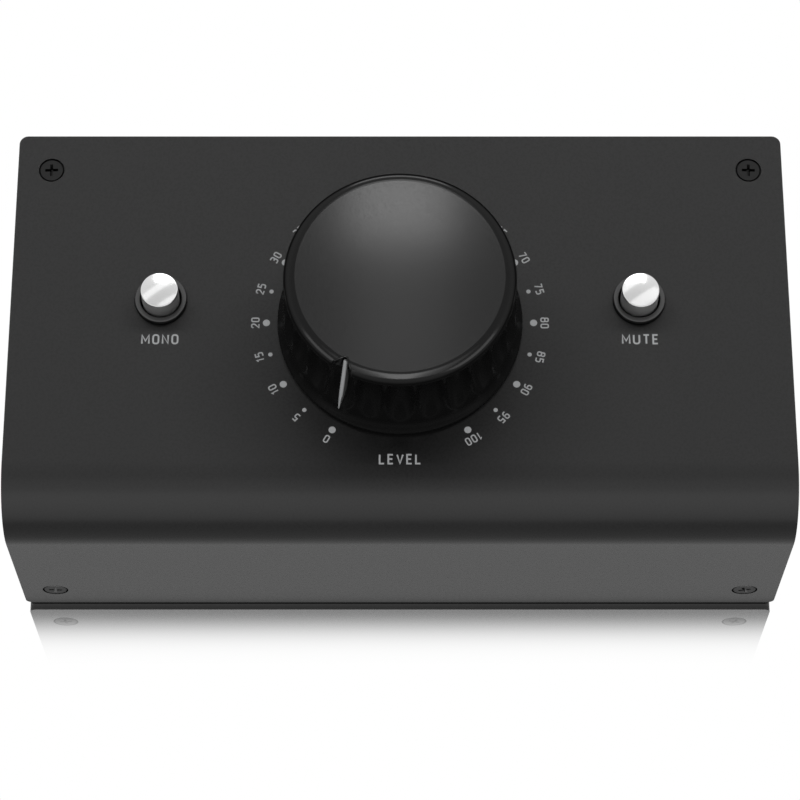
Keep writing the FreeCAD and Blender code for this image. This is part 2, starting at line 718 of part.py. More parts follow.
def make_boards():
    """Control board under the panel, with its standoffs and resistors, and connector board."""
    body = new_body("control_board")
    face = sketch_on(body, "XY_Plane", BOARD_LOW)
    rectangle(face, f"-{BOARD_SIDE}", BOARD_SIDE, BOARD_FRONT, BOARD_BACK)
    standoffs = []
    for side in ("", "-"):
        for back in (STANDOFF_FRONT, STANDOFF_BACK):
            circle(face, f"{side}{STANDOFF_SIDE}", back, "screw_radius + seat_gap")
            standoffs.append(make_standoff(f"{side}{STANDOFF_SIDE}", back))
    for across, back in switch_pin_spots("-button_side") + switch_pin_spots("button_side") + pot_pin_spots():
        circle(face, across, back, "pin_radius + seat_gap")
    pad(body, face, "board_thickness")
    finish(body, "control_board")
    finish(grouped(standoffs), "board_standoffs")

    resistors = []
    for side in ("", "-"):
        for index in range(3):
            middle = f"({side}(resistor_side + {index} * resistor_pitch))"
            across = (f"{middle} - resistor_length / 2", f"{middle} + resistor_length / 2")
            back = (STANDOFF_FRONT, f"{STANDOFF_FRONT} + resistor_width")
            resistors.append(box(across, back, (BOARD_TOP, f"{BOARD_TOP} + resistor_height")))
    finish(grouped(resistors), "summing_resistors")

    board = box(
        (f"-{OUTER_SOCKET} - connector_board_margin", f"{OUTER_SOCKET} + connector_board_margin"),
        (CONNECTOR_FACE, SOCKET_END),
        ("mat_thickness + connector_board_low", f"{BOARD_LOW} - connector_board_gap"),
    )
    finish(cut(board, grouped_contact_holes()), "connector_board")


def grouped_contact_holes():
    """The holes of the connector board: three for each socket and three for the small jack."""
    radius = "contact_tail_radius + seat_gap"
    spots = [contact for socket in socket_axes() for contact in contact_spots(socket)]
    spots += aux_lead_spots()
    return joined([rod(radius, CONNECTOR_FACE, SOCKET_END, x, z, along="back") for x, z in spots])


def make_standoff(across, back):
    """Hexagonal pillar under the panel, threaded from below."""
    pillar = DOC.addObject("Part::Prism", "pillar")
    pillar.Polygon = 6
    bind(pillar, "Circumradius", "standoff_corner")
    bind(pillar, "Height", f"{UNDER} - {BOARD_TOP}")
    place(pillar, across, back, BOARD_TOP)
    thread = rod("screw_radius + seat_gap", BOARD_TOP, f"{BOARD_TOP} + standoff_bore_depth", across, back)
    return cut(pillar, thread)


# ---------------------------------------------------------------- ribbon cable


def make_ribbon():
    """Flat cable between the boards, with a plug and a header at each end."""
    across = ("-header_length / 2", "header_length / 2")
    half = "header_width / 2"
    upper = (f"{RIBBON_BACK} - {half}", f"{RIBBON_BACK} + {half}")
    header_low = f"({BOARD_LOW} - header_height)"
    plug_low = f"({header_low} - plug_height)"
    lower = (f"{RIBBON_HEIGHT} - {half}", f"{RIBBON_HEIGHT} + {half}")
    headers = [
        box(across, upper, (header_low, BOARD_LOW)),
        box(across, (HEADER_FRONT, CONNECTOR_FACE), lower),
    ]
    plugs = [
        box(across, upper, (plug_low, header_low)),
        box(across, (PLUG_FRONT, HEADER_FRONT), lower),
    ]
    finish(grouped(headers), "ribbon_headers")
    finish(grouped(plugs), "ribbon_plugs")

    body = new_body("ribbon")
    side = sketch_on(body, "YZ_Plane")
    thin = "ribbon_thickness / 2"
    outline(
        side,
        [
            (f"{RIBBON_BACK} - {thin}", plug_low),
            (f"{RIBBON_BACK} - {thin}", f"{RIBBON_HEIGHT} - {thin}"),
            (PLUG_FRONT, f"{RIBBON_HEIGHT} - {thin}"),
            (PLUG_FRONT, f"{RIBBON_HEIGHT} + {thin}"),
            (f"{RIBBON_BACK} + {thin}", f"{RIBBON_HEIGHT} + {thin}"),
            (f"{RIBBON_BACK} + {thin}", plug_low),
        ],
    )
    pad(body, side, "ribbon_width", symmetric=True)
    outer = {"back": f"{RIBBON_BACK} - {thin}", "up": f"{RIBBON_HEIGHT} - {thin}"}
    inner = {"back": f"{RIBBON_BACK} + {thin}", "up": f"{RIBBON_HEIGHT} + {thin}"}
    dress(body, "Fillet", f"ribbon_bend + {thin}", lambda e: lies_at(e, **outer))
    dress(body, "Fillet", f"ribbon_bend - {thin}", lambda e: lies_at(e, **inner))
    finish(body, "ribbon_cable")


# ---------------------------------------------------------------- buttons


def make_button(name, side):
    """One push button: bezel, cap, plunger, spring, switch case and pins."""
    axis = f"{side}button_side"

    bezel = new_body(f"{name}_bezel_body")
    ring = sketch_on(bezel, "XZ_Plane")
    outline(
        ring,
        [
            ("bezel_bore", "bezel_rise"),
            ("bezel_radius", "bezel_rise"),
            ("bezel_radius", "0"),
            ("bezel_sleeve", "0"),
            ("bezel_sleeve", "-cover_thickness - bezel_sleeve_below"),
            ("bezel_bore", "-cover_thickness - bezel_sleeve_below"),
        ],
    )
    turned(bezel, ring)
    dress(bezel, "Fillet", "bezel_edge_round", lambda e: lies_at(e, up="bezel_rise"))
    place(bezel, axis, "button_back", TOP)
    finish(bezel, f"{name}_bezel")

    cap = new_body(f"{name}_cap_body")
    side_view = sketch_on(cap, "XZ_Plane")
    rectangle(side_view, "0", "cap_radius", "cap_rise - cap_length", "cap_rise")
    turned(cap, side_view)
    dress(cap, "Fillet", "cap_edge_round", lambda e: lies_at(e, up="cap_rise") and is_ring(e, "cap_radius"))
    socket = sketch_on(cap, "XY_Plane", "cap_rise - cap_length")
    half_socket = "(plunger_side / 2 + seat_gap)"
    rectangle(socket, f"-{half_socket}", half_socket, f"-{half_socket}", half_socket)
    pocket(cap, socket, "plunger_depth_in_cap", backwards=True)
    place(cap, axis, "button_back", TOP)
    finish(cap, f"{name}_cap")

    def square(half, low, high):
        """A square block on the button's axis."""
        across = (f"{axis} - ({half})", f"{axis} + ({half})")
        back = (f"button_back - ({half})", f"button_back + ({half})")
        return box(across, back, (low, high))

    cap_low = "(body_height + cap_rise - cap_length)"
    roof = f"({SWITCH_TOP} - switch_wall)"
    shoulder = f"({roof} - slide_gap)"
    stem = square("plunger_side / 2", shoulder, f"{cap_low} + plunger_depth_in_cap")
    flange = square("plunger_flange / 2", f"{shoulder} - plunger_flange_height", shoulder)
    finish(joined([stem, flange]), f"{name}_plunger")

    case = square("switch_side / 2", BOARD_TOP, SWITCH_TOP)
    room = square("switch_side / 2 - switch_wall", f"{BOARD_TOP} + switch_wall", roof)
    mouth = square("plunger_side / 2 + slide_gap", roof, SWITCH_TOP)
    finish(cut(case, joined([room, mouth])), f"{name}_switch_case")

    finish(solder_pins(switch_pin_spots(axis)), f"{name}_switch_pins")

    floor = f"({BOARD_TOP} + switch_wall)"
    length = f"({shoulder} - plunger_flange_height - {floor})"
    make_spring(name, axis, floor, length)


def switch_pin_spots(axis):
    """A switch's six pins, in two rows of three."""
    rows = [f"{axis} {sign} pin_spacing / 2" for sign in "-+"]
    return [(across, f"button_back + {step} * pin_spacing / 2") for across in rows for step in (-1, 0, 1)]


def solder_pins(spots):
    """Pins that run from under a switch or the potentiometer through the control board."""
    low = f"{BOARD_LOW} - pin_below_board"
    return grouped([rod("pin_radius", low, BOARD_TOP, across, back) for across, back in spots])


def make_spring(name, axis, floor, length):
    """Round-wire coil between the switch's floor and the plunger's shoulder."""
    coil = DOC.addObject("Part::Helix", "coil")
    coil.LocalCoord = "Right-handed"
    bind(coil, "Pitch", "spring_pitch")
    bind(coil, "Height", f"{length} - 2 * (spring_wire + seat_gap)")
    bind(coil, "Radius", "spring_radius")
    place(coil, axis, "button_back", f"{floor} + spring_wire + seat_gap")
    wire = DOC.addObject("Part::Circle", "wire")
    bind(wire, "Radius", "spring_wire")
    place(wire, f"{axis} + spring_radius", "button_back", f"{floor} + spring_wire + seat_gap", FACING_FRONT)
    spring = DOC.addObject("Part::Sweep", "spring")
    spring.Sections = [wire]
    spring.Spine = (coil, ["Edge1"])
    spring.Solid = True
    spring.Frenet = True
    finish(spring, f"{name}_spring")


# ---------------------------------------------------------------- potentiometer and knob


def make_potentiometer():
    """Case, bushing, washer, nut, pins, and the shaft and rotor that turn in them."""
    half_width = "pot_width / 2"
    half_depth = "pot_depth / 2"
    roof = f"({UNDER} - pot_roof)"
    cavity_floor = f"({roof} - pot_cavity_height)"
    axis = {"across": "0", "other": "knob_axis_back"}
    case = box(
        (f"-{half_width}", half_width),
        (f"knob_axis_back - {half_depth}", f"knob_axis_back + {half_depth}"),
        (BOARD_TOP, UNDER),
    )
    hollow = rod("pot_cavity_radius", cavity_floor, roof, **axis)
    throat = rod("shaft_radius + running_gap", roof, UNDER, **axis)
    finish(cut(case, joined([hollow, throat])), "potentiometer_case")

    tube = rod("bushing_radius", UNDER, f"{TOP} + bushing_rise", **axis)
    bore = rod("shaft_radius + running_gap", UNDER, f"{TOP} + bushing_rise", **axis)
    finish(cut(tube, bore), "potentiometer_bushing")

    washer_top = f"{TOP} + washer_thickness"
    washer = rod("washer_radius", TOP, washer_top, **axis)
    washer_hole = rod("bushing_radius + seat_gap", TOP, washer_top, **axis)
    finish(cut(washer, washer_hole), "potentiometer_washer")
    nut = DOC.addObject("Part::Prism", "nut")
    nut.Polygon = 6
    bind(nut, "Circumradius", "nut_corner")
    bind(nut, "Height", "nut_thickness")
    place(nut, "0", "knob_axis_back", washer_top)
    nut_hole = rod("bushing_radius + seat_gap", washer_top, f"{washer_top} + nut_thickness", **axis)
    finish(cut(nut, nut_hole), "potentiometer_nut")

    finish(solder_pins(pot_pin_spots()), "potentiometer_pins")

    rotor_low = f"({roof} - pot_cavity_height / 2 - rotor_height / 2)"
    rotor = rod("rotor_radius", rotor_low, f"{rotor_low} + rotor_height", **axis)
    eye = rod("shaft_radius", rotor_low, f"{rotor_low} + rotor_height", **axis)
    finish(cut(rotor, eye), "potentiometer_rotor")
    shaft = rod("shaft_radius", rotor_low, f"{TOP} + shaft_rise", **axis)
    finish(cut(shaft, flat_beyond("shaft_flat", "shaft_flat_start", "shaft_rise")), "potentiometer_shaft")


def pot_pin_spots():
    """The potentiometer's six pins, in two rows of three."""
    rows = [f"knob_axis_back {sign} pin_spacing" for sign in "-+"]
    return [(f"{step} * pin_spacing", back) for back in rows for step in (-1, 0, 1)]


def flat_beyond(flat, low, high):
    """The block that lies beyond a shaft's flat, between two heights above the panel."""
    far = "insert_radius"
    across = (flat, far)
    back = (f"knob_axis_back - {far}", f"knob_axis_back + {far}")
    return box(across, back, (f"{TOP} + {low}", f"{TOP} + {high}"))


def put_on_knob_axis(body):
    """Puts a body of the knob on its axis, on the panel, with its own +X at the scale's zero."""
    place(body, "0", "knob_axis_back", TOP, FreeCAD.Rotation(FreeCAD.Vector(0, 0, 1), 1))
    bind(body, "Placement.Rotation.Angle", "pointer_angle")


def make_knob():
    """Fluted knob with an overhanging cap rim, its brass insert and its pointer."""
    knob = new_body("knob")
    side = sketch_on(knob, "XZ_Plane")
    outline(
        side,
        [
            ("0", "cavity_roof"),
            ("insert_radius + seat_gap", "cavity_roof"),
            ("insert_radius + seat_gap", "hub_low"),
            ("hub_radius", "hub_low"),
            ("hub_radius", "cavity_roof"),
            ("cavity_radius", "cavity_roof"),
            ("cavity_radius", "cavity_taper_height"),
            ("cavity_mouth_radius", "cavity_mouth_height"),
            ("cavity_mouth_radius", "knob_foot_gap"),
            ("knob_foot_radius", "knob_foot_gap"),
            ("knob_foot_radius", "knob_foot_gap + knob_foot_land"),
            ("knob_waist_radius", "knob_waist_height"),
            ("knob_neck_radius", "rim_low"),
            ("0", "rim_low"),
        ],
    )
    turned(knob, side)
    cut_flutes(knob)
    add_cap_rim(knob)
    cut_notch(knob)
    slot = sketch_on(knob, "XZ_Plane")
    outline(slot, pointer_corners())
    pocket(knob, slot, "pointer_thickness", symmetric=True)
    put_on_knob_axis(knob)
    finish(knob, "level_knob")

    pointer = new_body("pointer")
    blade = sketch_on(pointer, "XZ_Plane")
    outline(blade, pointer_corners())
    pad(pointer, blade, "pointer_thickness", symmetric=True)
    put_on_knob_axis(pointer)
    finish(pointer, "knob_pointer")

    low = f"{TOP} + hub_low"
    high = f"{TOP} + cavity_roof"
    outside = rod("insert_radius", low, high, "0", "knob_axis_back")
    bore = rod("shaft_radius + seat_gap", low, high, "0", "knob_axis_back")
    beyond = flat_beyond("shaft_flat + seat_gap", "hub_low", "cavity_roof")
    finish(cut(outside, cut(bore, beyond)), "knob_insert")


def cut_flutes(knob):
    """Scoops each flute with a round wheel whose floor rises out of the foot."""
    before = knob.Shape.Volume
    level = sketch_on(knob, "XY_Plane", "flute_height")
    circle(level, "flute_floor + flute_radius", "0", "flute_radius")
    far = "flute_floor + flute_sweep"
    reach = ("-flute_radius", "flute_radius")
    ends = [FreeCAD.Vector(value(far), value(side), 0) for side in reach]
    axle = level.addGeometry(Part.LineSegment(*ends), True)
    for point, side in enumerate(reach, 1):
        pin_point(level, axle, point, far, side)
    scoop = knob.newObject("PartDesign::Groove", "scoop")
    scoop.Profile = level
    scoop.ReferenceAxis = (level, ["Axis0"])
    scoop.Angle = 360
    DOC.recompute()
    flutes = knob.newObject("PartDesign::PolarPattern", "flutes")
    flutes.Originals = [scoop]
    flutes.Axis = (next(f for f in knob.Origin.OriginFeatures if f.Role == "Z_Axis"), [""])
    flutes.Angle = 360
    bind(flutes, "Occurrences", "flute_count")
    knob.Tip = flutes
    DOC.recompute()
    if knob.Shape.Volume >= before:
        raise RuntimeError("the flutes cut nothing")


def add_cap_rim(knob):
    """The domed cap whose rim overhangs the side."""
    cap = sketch_on(knob, "XZ_Plane")
    low = FreeCAD.Vector(0, value("rim_low"), 0)
    corner = FreeCAD.Vector(value("rim_radius"), value("rim_low"), 0)
    edge = FreeCAD.Vector(value("rim_radius"), value("rim_high"), 0)
    crown = FreeCAD.Vector(0, value("crown_height"), 0)
    drop = crown.y - edge.y
    sphere = (edge.x**2 + drop**2) / (2 * drop)
    dip = sphere - (sphere**2 - edge.x**2 / 4) ** 0.5
    halfway = FreeCAD.Vector(edge.x / 2, crown.y - dip, 0)
    cap.addGeometry(Part.LineSegment(low, corner))
    cap.addGeometry(Part.LineSegment(corner, edge))
    cap.addGeometry(Part.Arc(edge, halfway, crown))
    cap.addGeometry(Part.LineSegment(crown, low))
    cap.addConstraint(Sketcher.Constraint("Coincident", 0, 2, 1, 1))
    cap.addConstraint(Sketcher.Constraint("Coincident", 1, 2, 2, 1))
    cap.addConstraint(Sketcher.Constraint("Coincident", 2, 2, 3, 1))
    cap.addConstraint(Sketcher.Constraint("Coincident", 3, 2, 0, 1))
    cap.addConstraint(Sketcher.Constraint("PointOnObject", 2, 3, -2))
    pin_point(cap, 0, 1, "0", "rim_low")
    pin_point(cap, 1, 1, "rim_radius", "rim_low")
    pin_point(cap, 1, 2, "rim_radius", "rim_high")
    pin_point(cap, 3, 1, "0", "crown_height")
    turned(knob, cap)
    dress(knob, "Fillet", "rim_round", lambda e: lies_at(e, up="rim_high") and is_ring(e, "rim_radius"))


def cut_notch(knob):
    """The V through the rim, above the pointer's flute."""
    notch = sketch_on(knob, "XY_Plane", "crown_height")
    beyond = "(2 * rim_radius - notch_apex)"
    outline(notch, [("notch_apex", "0"), (beyond, "-notch_width"), (beyond, "notch_width")])
    pocket(knob, notch, "crown_height - notch_low")


def pointer_corners():
    """The pointer's blade seen from the side: distance from the axis, height above the panel."""
    return [
        ("pointer_root_radius", "pointer_top - pointer_thickness"),
        ("pointer_root_radius", "pointer_root_low"),
        ("pointer_foot_radius - 2 * pointer_thickness", "pointer_foot"),
        ("pointer_foot_radius", "pointer_foot"),
        ("pointer_top_radius", "pointer_top"),
    ]


# ---------------------------------------------------------------- sockets


def socket_axes():
    """The four sockets' axes, from left to right."""
    return [f"-{OUTER_SOCKET}", f"-{INNER_SOCKET}", INNER_SOCKET, OUTER_SOCKET]


def contact_spots(axis):
    """The three contacts of a socket, as (across, height) of the whole part."""
    return [
        (f"{axis} + contact_circle * cos({angle})", f"{SOCKET_HEIGHT} + contact_circle * sin({angle})")
        for angle in CONTACT_ANGLES
    ]


def aux_lead_spots():
    """The three leads of the small jack."""
    return [(f"{step} * aux_lead_spacing", SOCKET_HEIGHT) for step in (-1, 0, 1)]


def make_shell(name, axis, mouth_radius, mouth_depth):
    """Flange and barrel of a large socket, in a frame whose +Z points out of the panel."""
    shell = new_body(f"{name}_shell_body")
    flange = sketch_on(shell, "XY_Plane")
    half = ("socket_flange_width / 2", "socket_flange_height / 2")
    rectangle(flange, f"-{half[0]}", half[0], f"-{half[1]}", half[1])
    pad(shell, flange, "socket_flange_thickness")
    corners = [(s, u) for s in (half[0], f"-{half[0]}") for u in (half[1], f"-{half[1]}")]
    dress(
        shell,
        "Fillet",
        "socket_flange_corner",
        lambda e: any(lies_at(e, across=s, back=u) for s, u in corners),
    )
    barrel = sketch_on(shell, "XY_Plane")
    circle(barrel, "0", "0", "socket_radius")
    pad(shell, barrel, "panel_thickness + socket_depth", backwards=True)
    face = "socket_flange_thickness"
    mouth = sketch_on(shell, "XY_Plane", face)
    circle(mouth, "0", "0", mouth_radius)
    pocket(shell, mouth, mouth_depth)
    screws = sketch_on(shell, "XY_Plane", face)
    for sign in ("", "-"):
        across = f"{sign}(-socket_screw_across / 2)"
        circle(screws, across, f"{sign}(socket_screw_up / 2)", "screw_radius + seat_gap")
    pocket(shell, screws, "socket_flange_thickness")
    place(shell, axis, PANEL_OUT, SOCKET_HEIGHT, FACING_REAR)
    return shell


def drill_contacts(shell, radius):
    """Lets the three contacts through a shell's rear wall."""
    holes = sketch_on(shell, "XY_Plane", "socket_flange_thickness")
    for angle in CONTACT_ANGLES:
        across = f"-contact_circle * cos({angle})"
        circle(holes, across, f"contact_circle * sin({angle})", radius)
    pocket(shell, holes)


def make_input(name, axis):
    """Combined socket: XLR contacts round the bore for a large plug."""
    whole = "(socket_flange_thickness + panel_thickness + socket_depth)"
    shell = make_shell(name, axis, "input_mouth_radius", f"{whole} - input_back_wall")
    drill_contacts(shell, "contact_tail_radius + seat_gap")
    finish(shell, f"{name}_shell")

    insert = new_body(f"{name}_insert_body")
    side = sketch_on(insert, "XZ_Plane")
    floor = f"(socket_flange_thickness - {whole} + input_back_wall)"
    outline(
        side,
        [
            ("jack_bore_radius", floor),
            ("input_mouth_radius - seat_gap", floor),
            ("input_mouth_radius - seat_gap", f"{floor} + input_insert_foot"),
            ("input_insert_radius", f"{floor} + input_insert_foot"),
            ("input_insert_radius", "socket_flange_thickness"),
            ("jack_bore_radius", "socket_flange_thickness"),
        ],
    )
    turned(insert, side)
    openings = sketch_on(insert, "XY_Plane", "socket_flange_thickness")
    tails = sketch_on(insert, "XY_Plane", "socket_flange_thickness")
    for angle in CONTACT_ANGLES:
        across = f"-contact_circle * cos({angle})"
        up = f"contact_circle * sin({angle})"
        circle(openings, across, up, "contact_bore")
        circle(tails, across, up, "contact_tail_radius + seat_gap")
    pocket(insert, openings, "contact_bore_depth")
    pocket(insert, tails)
    place(insert, axis, PANEL_OUT, SOCKET_HEIGHT, FACING_REAR)
    finish(insert, f"{name}_insert")

    face = f"({PANEL_OUT} + socket_flange_thickness)"
    cup_floor = f"({face} - contact_bore_depth)"
    cup_end = f"({face} - contact_bore_depth / 2)"
    contacts = []
    for across, up in contact_spots(axis):
        cup = rod("contact_bore - seat_gap", cup_floor, cup_end, across, up, along="back")
        tail = rod("contact_tail_radius", tail_end(), cup_floor, across, up, along="back")
        contacts.append(joined([cup, tail]))
    finish(grouped(contacts), f"{name}_contacts")


def tail_end():
    """Where a contact's tail ends, past the connector board."""
    return f"({CONNECTOR_FACE} - contact_tail_end)"


def make_output(name, axis):
    """XLR socket with three pins."""
    shell = make_shell(name, axis, "output_mouth_radius", "output_mouth_depth")
    drill_contacts(shell, "output_pin_radius + seat_gap")
    finish(shell, f"{name}_shell")
    tip = f"({PANEL_OUT} + socket_flange_thickness - output_pin_short)"
    pins = []
    for across, up in contact_spots(axis):
        pin = rod("output_pin_radius", SOCKET_END, tip, across, up, along="back")
        tail = rod("contact_tail_radius", tail_end(), SOCKET_END, across, up, along="back")
        pins.append(joined([pin, tail]))
    finish(grouped(pins), f"{name}_pins")


def make_aux_jack():
    """Small stereo jack between the inputs and the outputs."""
    case_end = f"({PANEL_IN} - aux_case_depth)"
    block = box(
        ("-aux_case_width / 2", "aux_case_width / 2"),
        (case_end, PANEL_IN),
        (f"{SOCKET_HEIGHT} - aux_case_height / 2", f"{SOCKET_HEIGHT} + aux_case_height / 2"),
    )
    mouth = f"({PANEL_OUT} + aux_bushing_rise)"
    bushing = rod("aux_bushing_radius", PANEL_IN, mouth, "0", SOCKET_HEIGHT, along="back")
    bore = rod("aux_bore_radius", f"{mouth} - aux_bore_depth", mouth, "0", SOCKET_HEIGHT, along="back")
    finish(cut(joined([block, bushing]), bore), "aux_jack_case")
    nut_face = f"{PANEL_OUT} + aux_nut_thickness"
    ring = rod("aux_nut_radius", PANEL_OUT, nut_face, "0", SOCKET_HEIGHT, along="back")
    hole = rod("aux_bushing_radius + seat_gap", PANEL_OUT, nut_face, "0", SOCKET_HEIGHT, along="back")
    finish(cut(ring, hole), "aux_jack_nut")
    leads = [
        rod("contact_tail_radius", tail_end(), case_end, across, up, along="back")
        for across, up in aux_lead_spots()
    ]
    finish(grouped(leads), "aux_jack_leads")


# ---------------------------------------------------------------- check and write


def check_document():
    """Raises if any object failed or any piece has no valid shape."""
    DOC.recompute()
    for thing in DOC.Objects:
        if {"Invalid", "Error"} & set(thing.State):
            raise RuntimeError(f"{thing.Name} failed: {thing.State}")
    for piece in FINISHED:
        shape = Part.getShape(piece)
        if shape.isNull() or not shape.isValid() or not shape.Solids:
            raise RuntimeError(f"{piece.Label} has no valid solid")


def write_parts():
    """Writes each node's STEP file."""
    os.makedirs("parts", exist_ok=True)
    for piece in FINISHED:
        Part.getShape(piece).exportStep(f"parts/{piece.Label}.step")


fill_sheet()
make_top_cover()
make_chassis_tray()
make_rear_panel()
make_base_mat()
make_screws()
make_boards()
make_ribbon()
for button, hand in (("mono", "-"), ("mute", "")):
    make_button(button, hand)
make_potentiometer()
make_knob()
left_outer, left_inner, right_inner, right_outer = socket_axes()
make_input("left_input", right_outer)
make_input("right_input", right_inner)
make_output("left_output", left_inner)
make_output("right_output", left_outer)
make_aux_jack()
check_document()
write_parts()
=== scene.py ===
"""Looks of a desktop monitor controller: bent steel cover, fluted level knob, two push buttons.

The file is laid out as a Blender add-on and is run as a script. Lengths are in metres, but for
the knob's section, which says so.
"""
import math

import bmesh
import bpy
from mathutils import Matrix, Vector


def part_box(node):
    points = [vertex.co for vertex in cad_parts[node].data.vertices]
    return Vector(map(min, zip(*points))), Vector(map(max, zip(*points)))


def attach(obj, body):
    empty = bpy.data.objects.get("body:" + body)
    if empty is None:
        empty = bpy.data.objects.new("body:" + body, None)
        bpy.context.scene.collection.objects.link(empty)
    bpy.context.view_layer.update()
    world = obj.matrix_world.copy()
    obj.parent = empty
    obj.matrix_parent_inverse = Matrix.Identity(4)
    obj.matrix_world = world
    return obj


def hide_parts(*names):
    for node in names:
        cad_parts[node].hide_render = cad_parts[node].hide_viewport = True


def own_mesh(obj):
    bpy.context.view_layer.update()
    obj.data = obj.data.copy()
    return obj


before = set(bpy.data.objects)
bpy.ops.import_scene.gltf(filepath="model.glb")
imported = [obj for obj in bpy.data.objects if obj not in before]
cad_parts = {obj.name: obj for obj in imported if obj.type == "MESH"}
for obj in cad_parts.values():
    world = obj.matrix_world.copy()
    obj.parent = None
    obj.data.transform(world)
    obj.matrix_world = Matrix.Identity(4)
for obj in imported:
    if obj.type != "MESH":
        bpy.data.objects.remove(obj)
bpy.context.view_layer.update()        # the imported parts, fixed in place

bl_info = {
    "name": "Desktop Monitor Controller",
    "version": (1, 0, 0),
    "blender": (4, 5, 0),
    "location": "View3D > Sidebar > Controller",
    "description": "Dresses the parts of a desktop monitor controller and sets the stage",
    "category": "Object",
}

MM = 0.001
COVER_LOW, COVER_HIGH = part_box("top_cover")
MAT_LOW, MAT_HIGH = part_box("base_mat")
TOP = COVER_HIGH.z
PANEL_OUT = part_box("rear_panel")[1].y
SHAFT_LOW, SHAFT_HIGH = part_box("potentiometer_shaft")
KNOB_AXIS = Vector((0, (SHAFT_LOW.y + SHAFT_HIGH.y) / 2, TOP))
SOCKETS = ("left_input", "right_input", "left_output", "right_output")
CAD_HEAD = 2.5 * MM  # radius of the countersunk heads in the CAD


def middle(node):
    """The centre of a CAD node's box."""
    low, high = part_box(node)
    return (low + high) / 2


# ---------------------------------------------------------------- colours and shader nodes


NOISE_LOW, NOISE_HIGH = 0.35, 0.65  # nearly all of a noise texture lies between these


def linear(code):
    """An sRGB hex colour as linear red, green, blue and alpha."""
    shares = [int(code[place:place + 2], 16) / 255 for place in (1, 3, 5)]
    rgb = [s / 12.92 if s <= 0.04045 else ((s + 0.055) / 1.055) ** 2.4 for s in shares]
    return (*rgb, 1.0)


def shade_of(colour, share):
    """A darker or lighter version of a colour, with its alpha."""
    return (*(part * share for part in colour[:3]), colour[3])


def set_stops(ramp, stops, full=1.0):
    """Gives a colour ramp its greys, listed from its start to its end, as shares of full."""
    elements = ramp.color_ramp.elements
    for position, light in stops[1:-1]:
        elements.new(position).color = (light / full,) * 3 + (1,)
    elements[0].color = (stops[0][1] / full,) * 3 + (1,)
    elements[-1].color = (stops[-1][1] / full,) * 3 + (1,)


def add_node(tree, kind, sockets=None, **settings):
    """Adds a node. Each socket takes a plain value, or the output that feeds it."""
    new = tree.nodes.new(kind)
    for name, given in settings.items():
        setattr(new, name, given)
    for name, given in (sockets or {}).items():
        if isinstance(given, bpy.types.NodeSocket):
            tree.links.new(given, new.inputs[name])
        else:
            new.inputs[name].default_value = given
    return new


def new_material(name, **sockets):
    """A material with one Principled shader; socket names are written with underscores."""
    material = bpy.data.materials.new(name)
    material.use_nodes = True
    tree = material.node_tree
    shader = next(n for n in tree.nodes if n.type == "BSDF_PRINCIPLED")
    for socket, given in sockets.items():
        shader.inputs[socket.replace("_", " ")].default_value = given
    material.diffuse_color = shader.inputs["Base Color"].default_value
    return material, tree, shader


def grain(tree, shader, size, depth, detail=2.0, stretch=(1, 1, 1)):
    """Bump from noise whose cells are about that size, in metres, and that deep."""
    place = add_node(tree, "ShaderNodeTexCoord").outputs["Object"]
    spread = add_node(tree, "ShaderNodeMapping", {"Vector": place, "Scale": stretch})
    cells = {"Vector": spread.outputs[0], "Scale": 1 / size, "Detail": detail}
    noise = add_node(tree, "ShaderNodeTexNoise", cells).outputs[0]
    relief = {"Height": noise, "Distance": depth, "Strength": 1.0}
    bump = add_node(tree, "ShaderNodeBump", relief)
    tree.links.new(bump.outputs[0], shader.inputs["Normal"])
    return noise


def vary(tree, shader, socket, factor, low, high):
    """Lets a number of the shader run from low to high with a texture."""
    span = {"From Min": NOISE_LOW, "From Max": NOISE_HIGH, "To Min": low, "To Max": high}
    spread = add_node(tree, "ShaderNodeMapRange", {"Value": factor, **span})
    tree.links.new(spread.outputs[0], shader.inputs[socket])


def tint(tree, shader, factor, dark, light):
    """Lets the base colour run between two colours with a texture."""
    ramp = add_node(tree, "ShaderNodeValToRGB", {"Fac": factor})
    ramp.color_ramp.elements[0].position = NOISE_LOW
    ramp.color_ramp.elements[0].color = dark
    ramp.color_ramp.elements[1].position = NOISE_HIGH
    ramp.color_ramp.elements[1].color = light
    tree.links.new(ramp.outputs[0], shader.inputs["Base Color"])


# ---------------------------------------------------------------- materials


def material_powder_coat(colour):
    """Powder-coated sheet steel, baked: a dark grey skin that still mirrors softly."""
    name = "powder_coated_steel"
    material, tree, shader = new_material(name, Base_Color=colour, Roughness=0.28, IOR=1.15)
    # flow marks of the baked powder, 0.5 mm across, and a finer grain inside them
    speck = grain(tree, shader, 0.5 * MM, 0.0012 * MM, 4.0)
    vary(tree, shader, "Roughness", speck, 0.25, 0.31)
    return material


def material_moulded(name, colour, roughness=0.45, size=0.25 * MM, depth=0.004 * MM, ior=1.49):
    """Moulded plastic: the fine pits of a spark-eroded mould, and slight shifts of gloss."""
    material, tree, shader = new_material(name, Base_Color=colour, Roughness=roughness, IOR=ior)
    pits = grain(tree, shader, size, depth, 3.0)
    vary(tree, shader, "Roughness", pits, roughness * 0.88, roughness * 1.12)
    return material


def material_metal(
    name, colour, roughness=0.25, size=0.4 * MM, depth=0.0015 * MM, stretch=(1, 1, 1), edge=1.0
):
    """Bare or plated metal: its surface keeps the marks of how it was made."""
    material, tree, shader = new_material(
        name, Base_Color=colour, Roughness=roughness, Metallic=1.0
    )
    shader.inputs["Specular Tint"].default_value = (edge, edge, edge, 1)
    marks = grain(tree, shader, size, depth, 3.0, stretch)
    vary(tree, shader, "Roughness", marks, roughness * 0.8, roughness * 1.2)
    return material


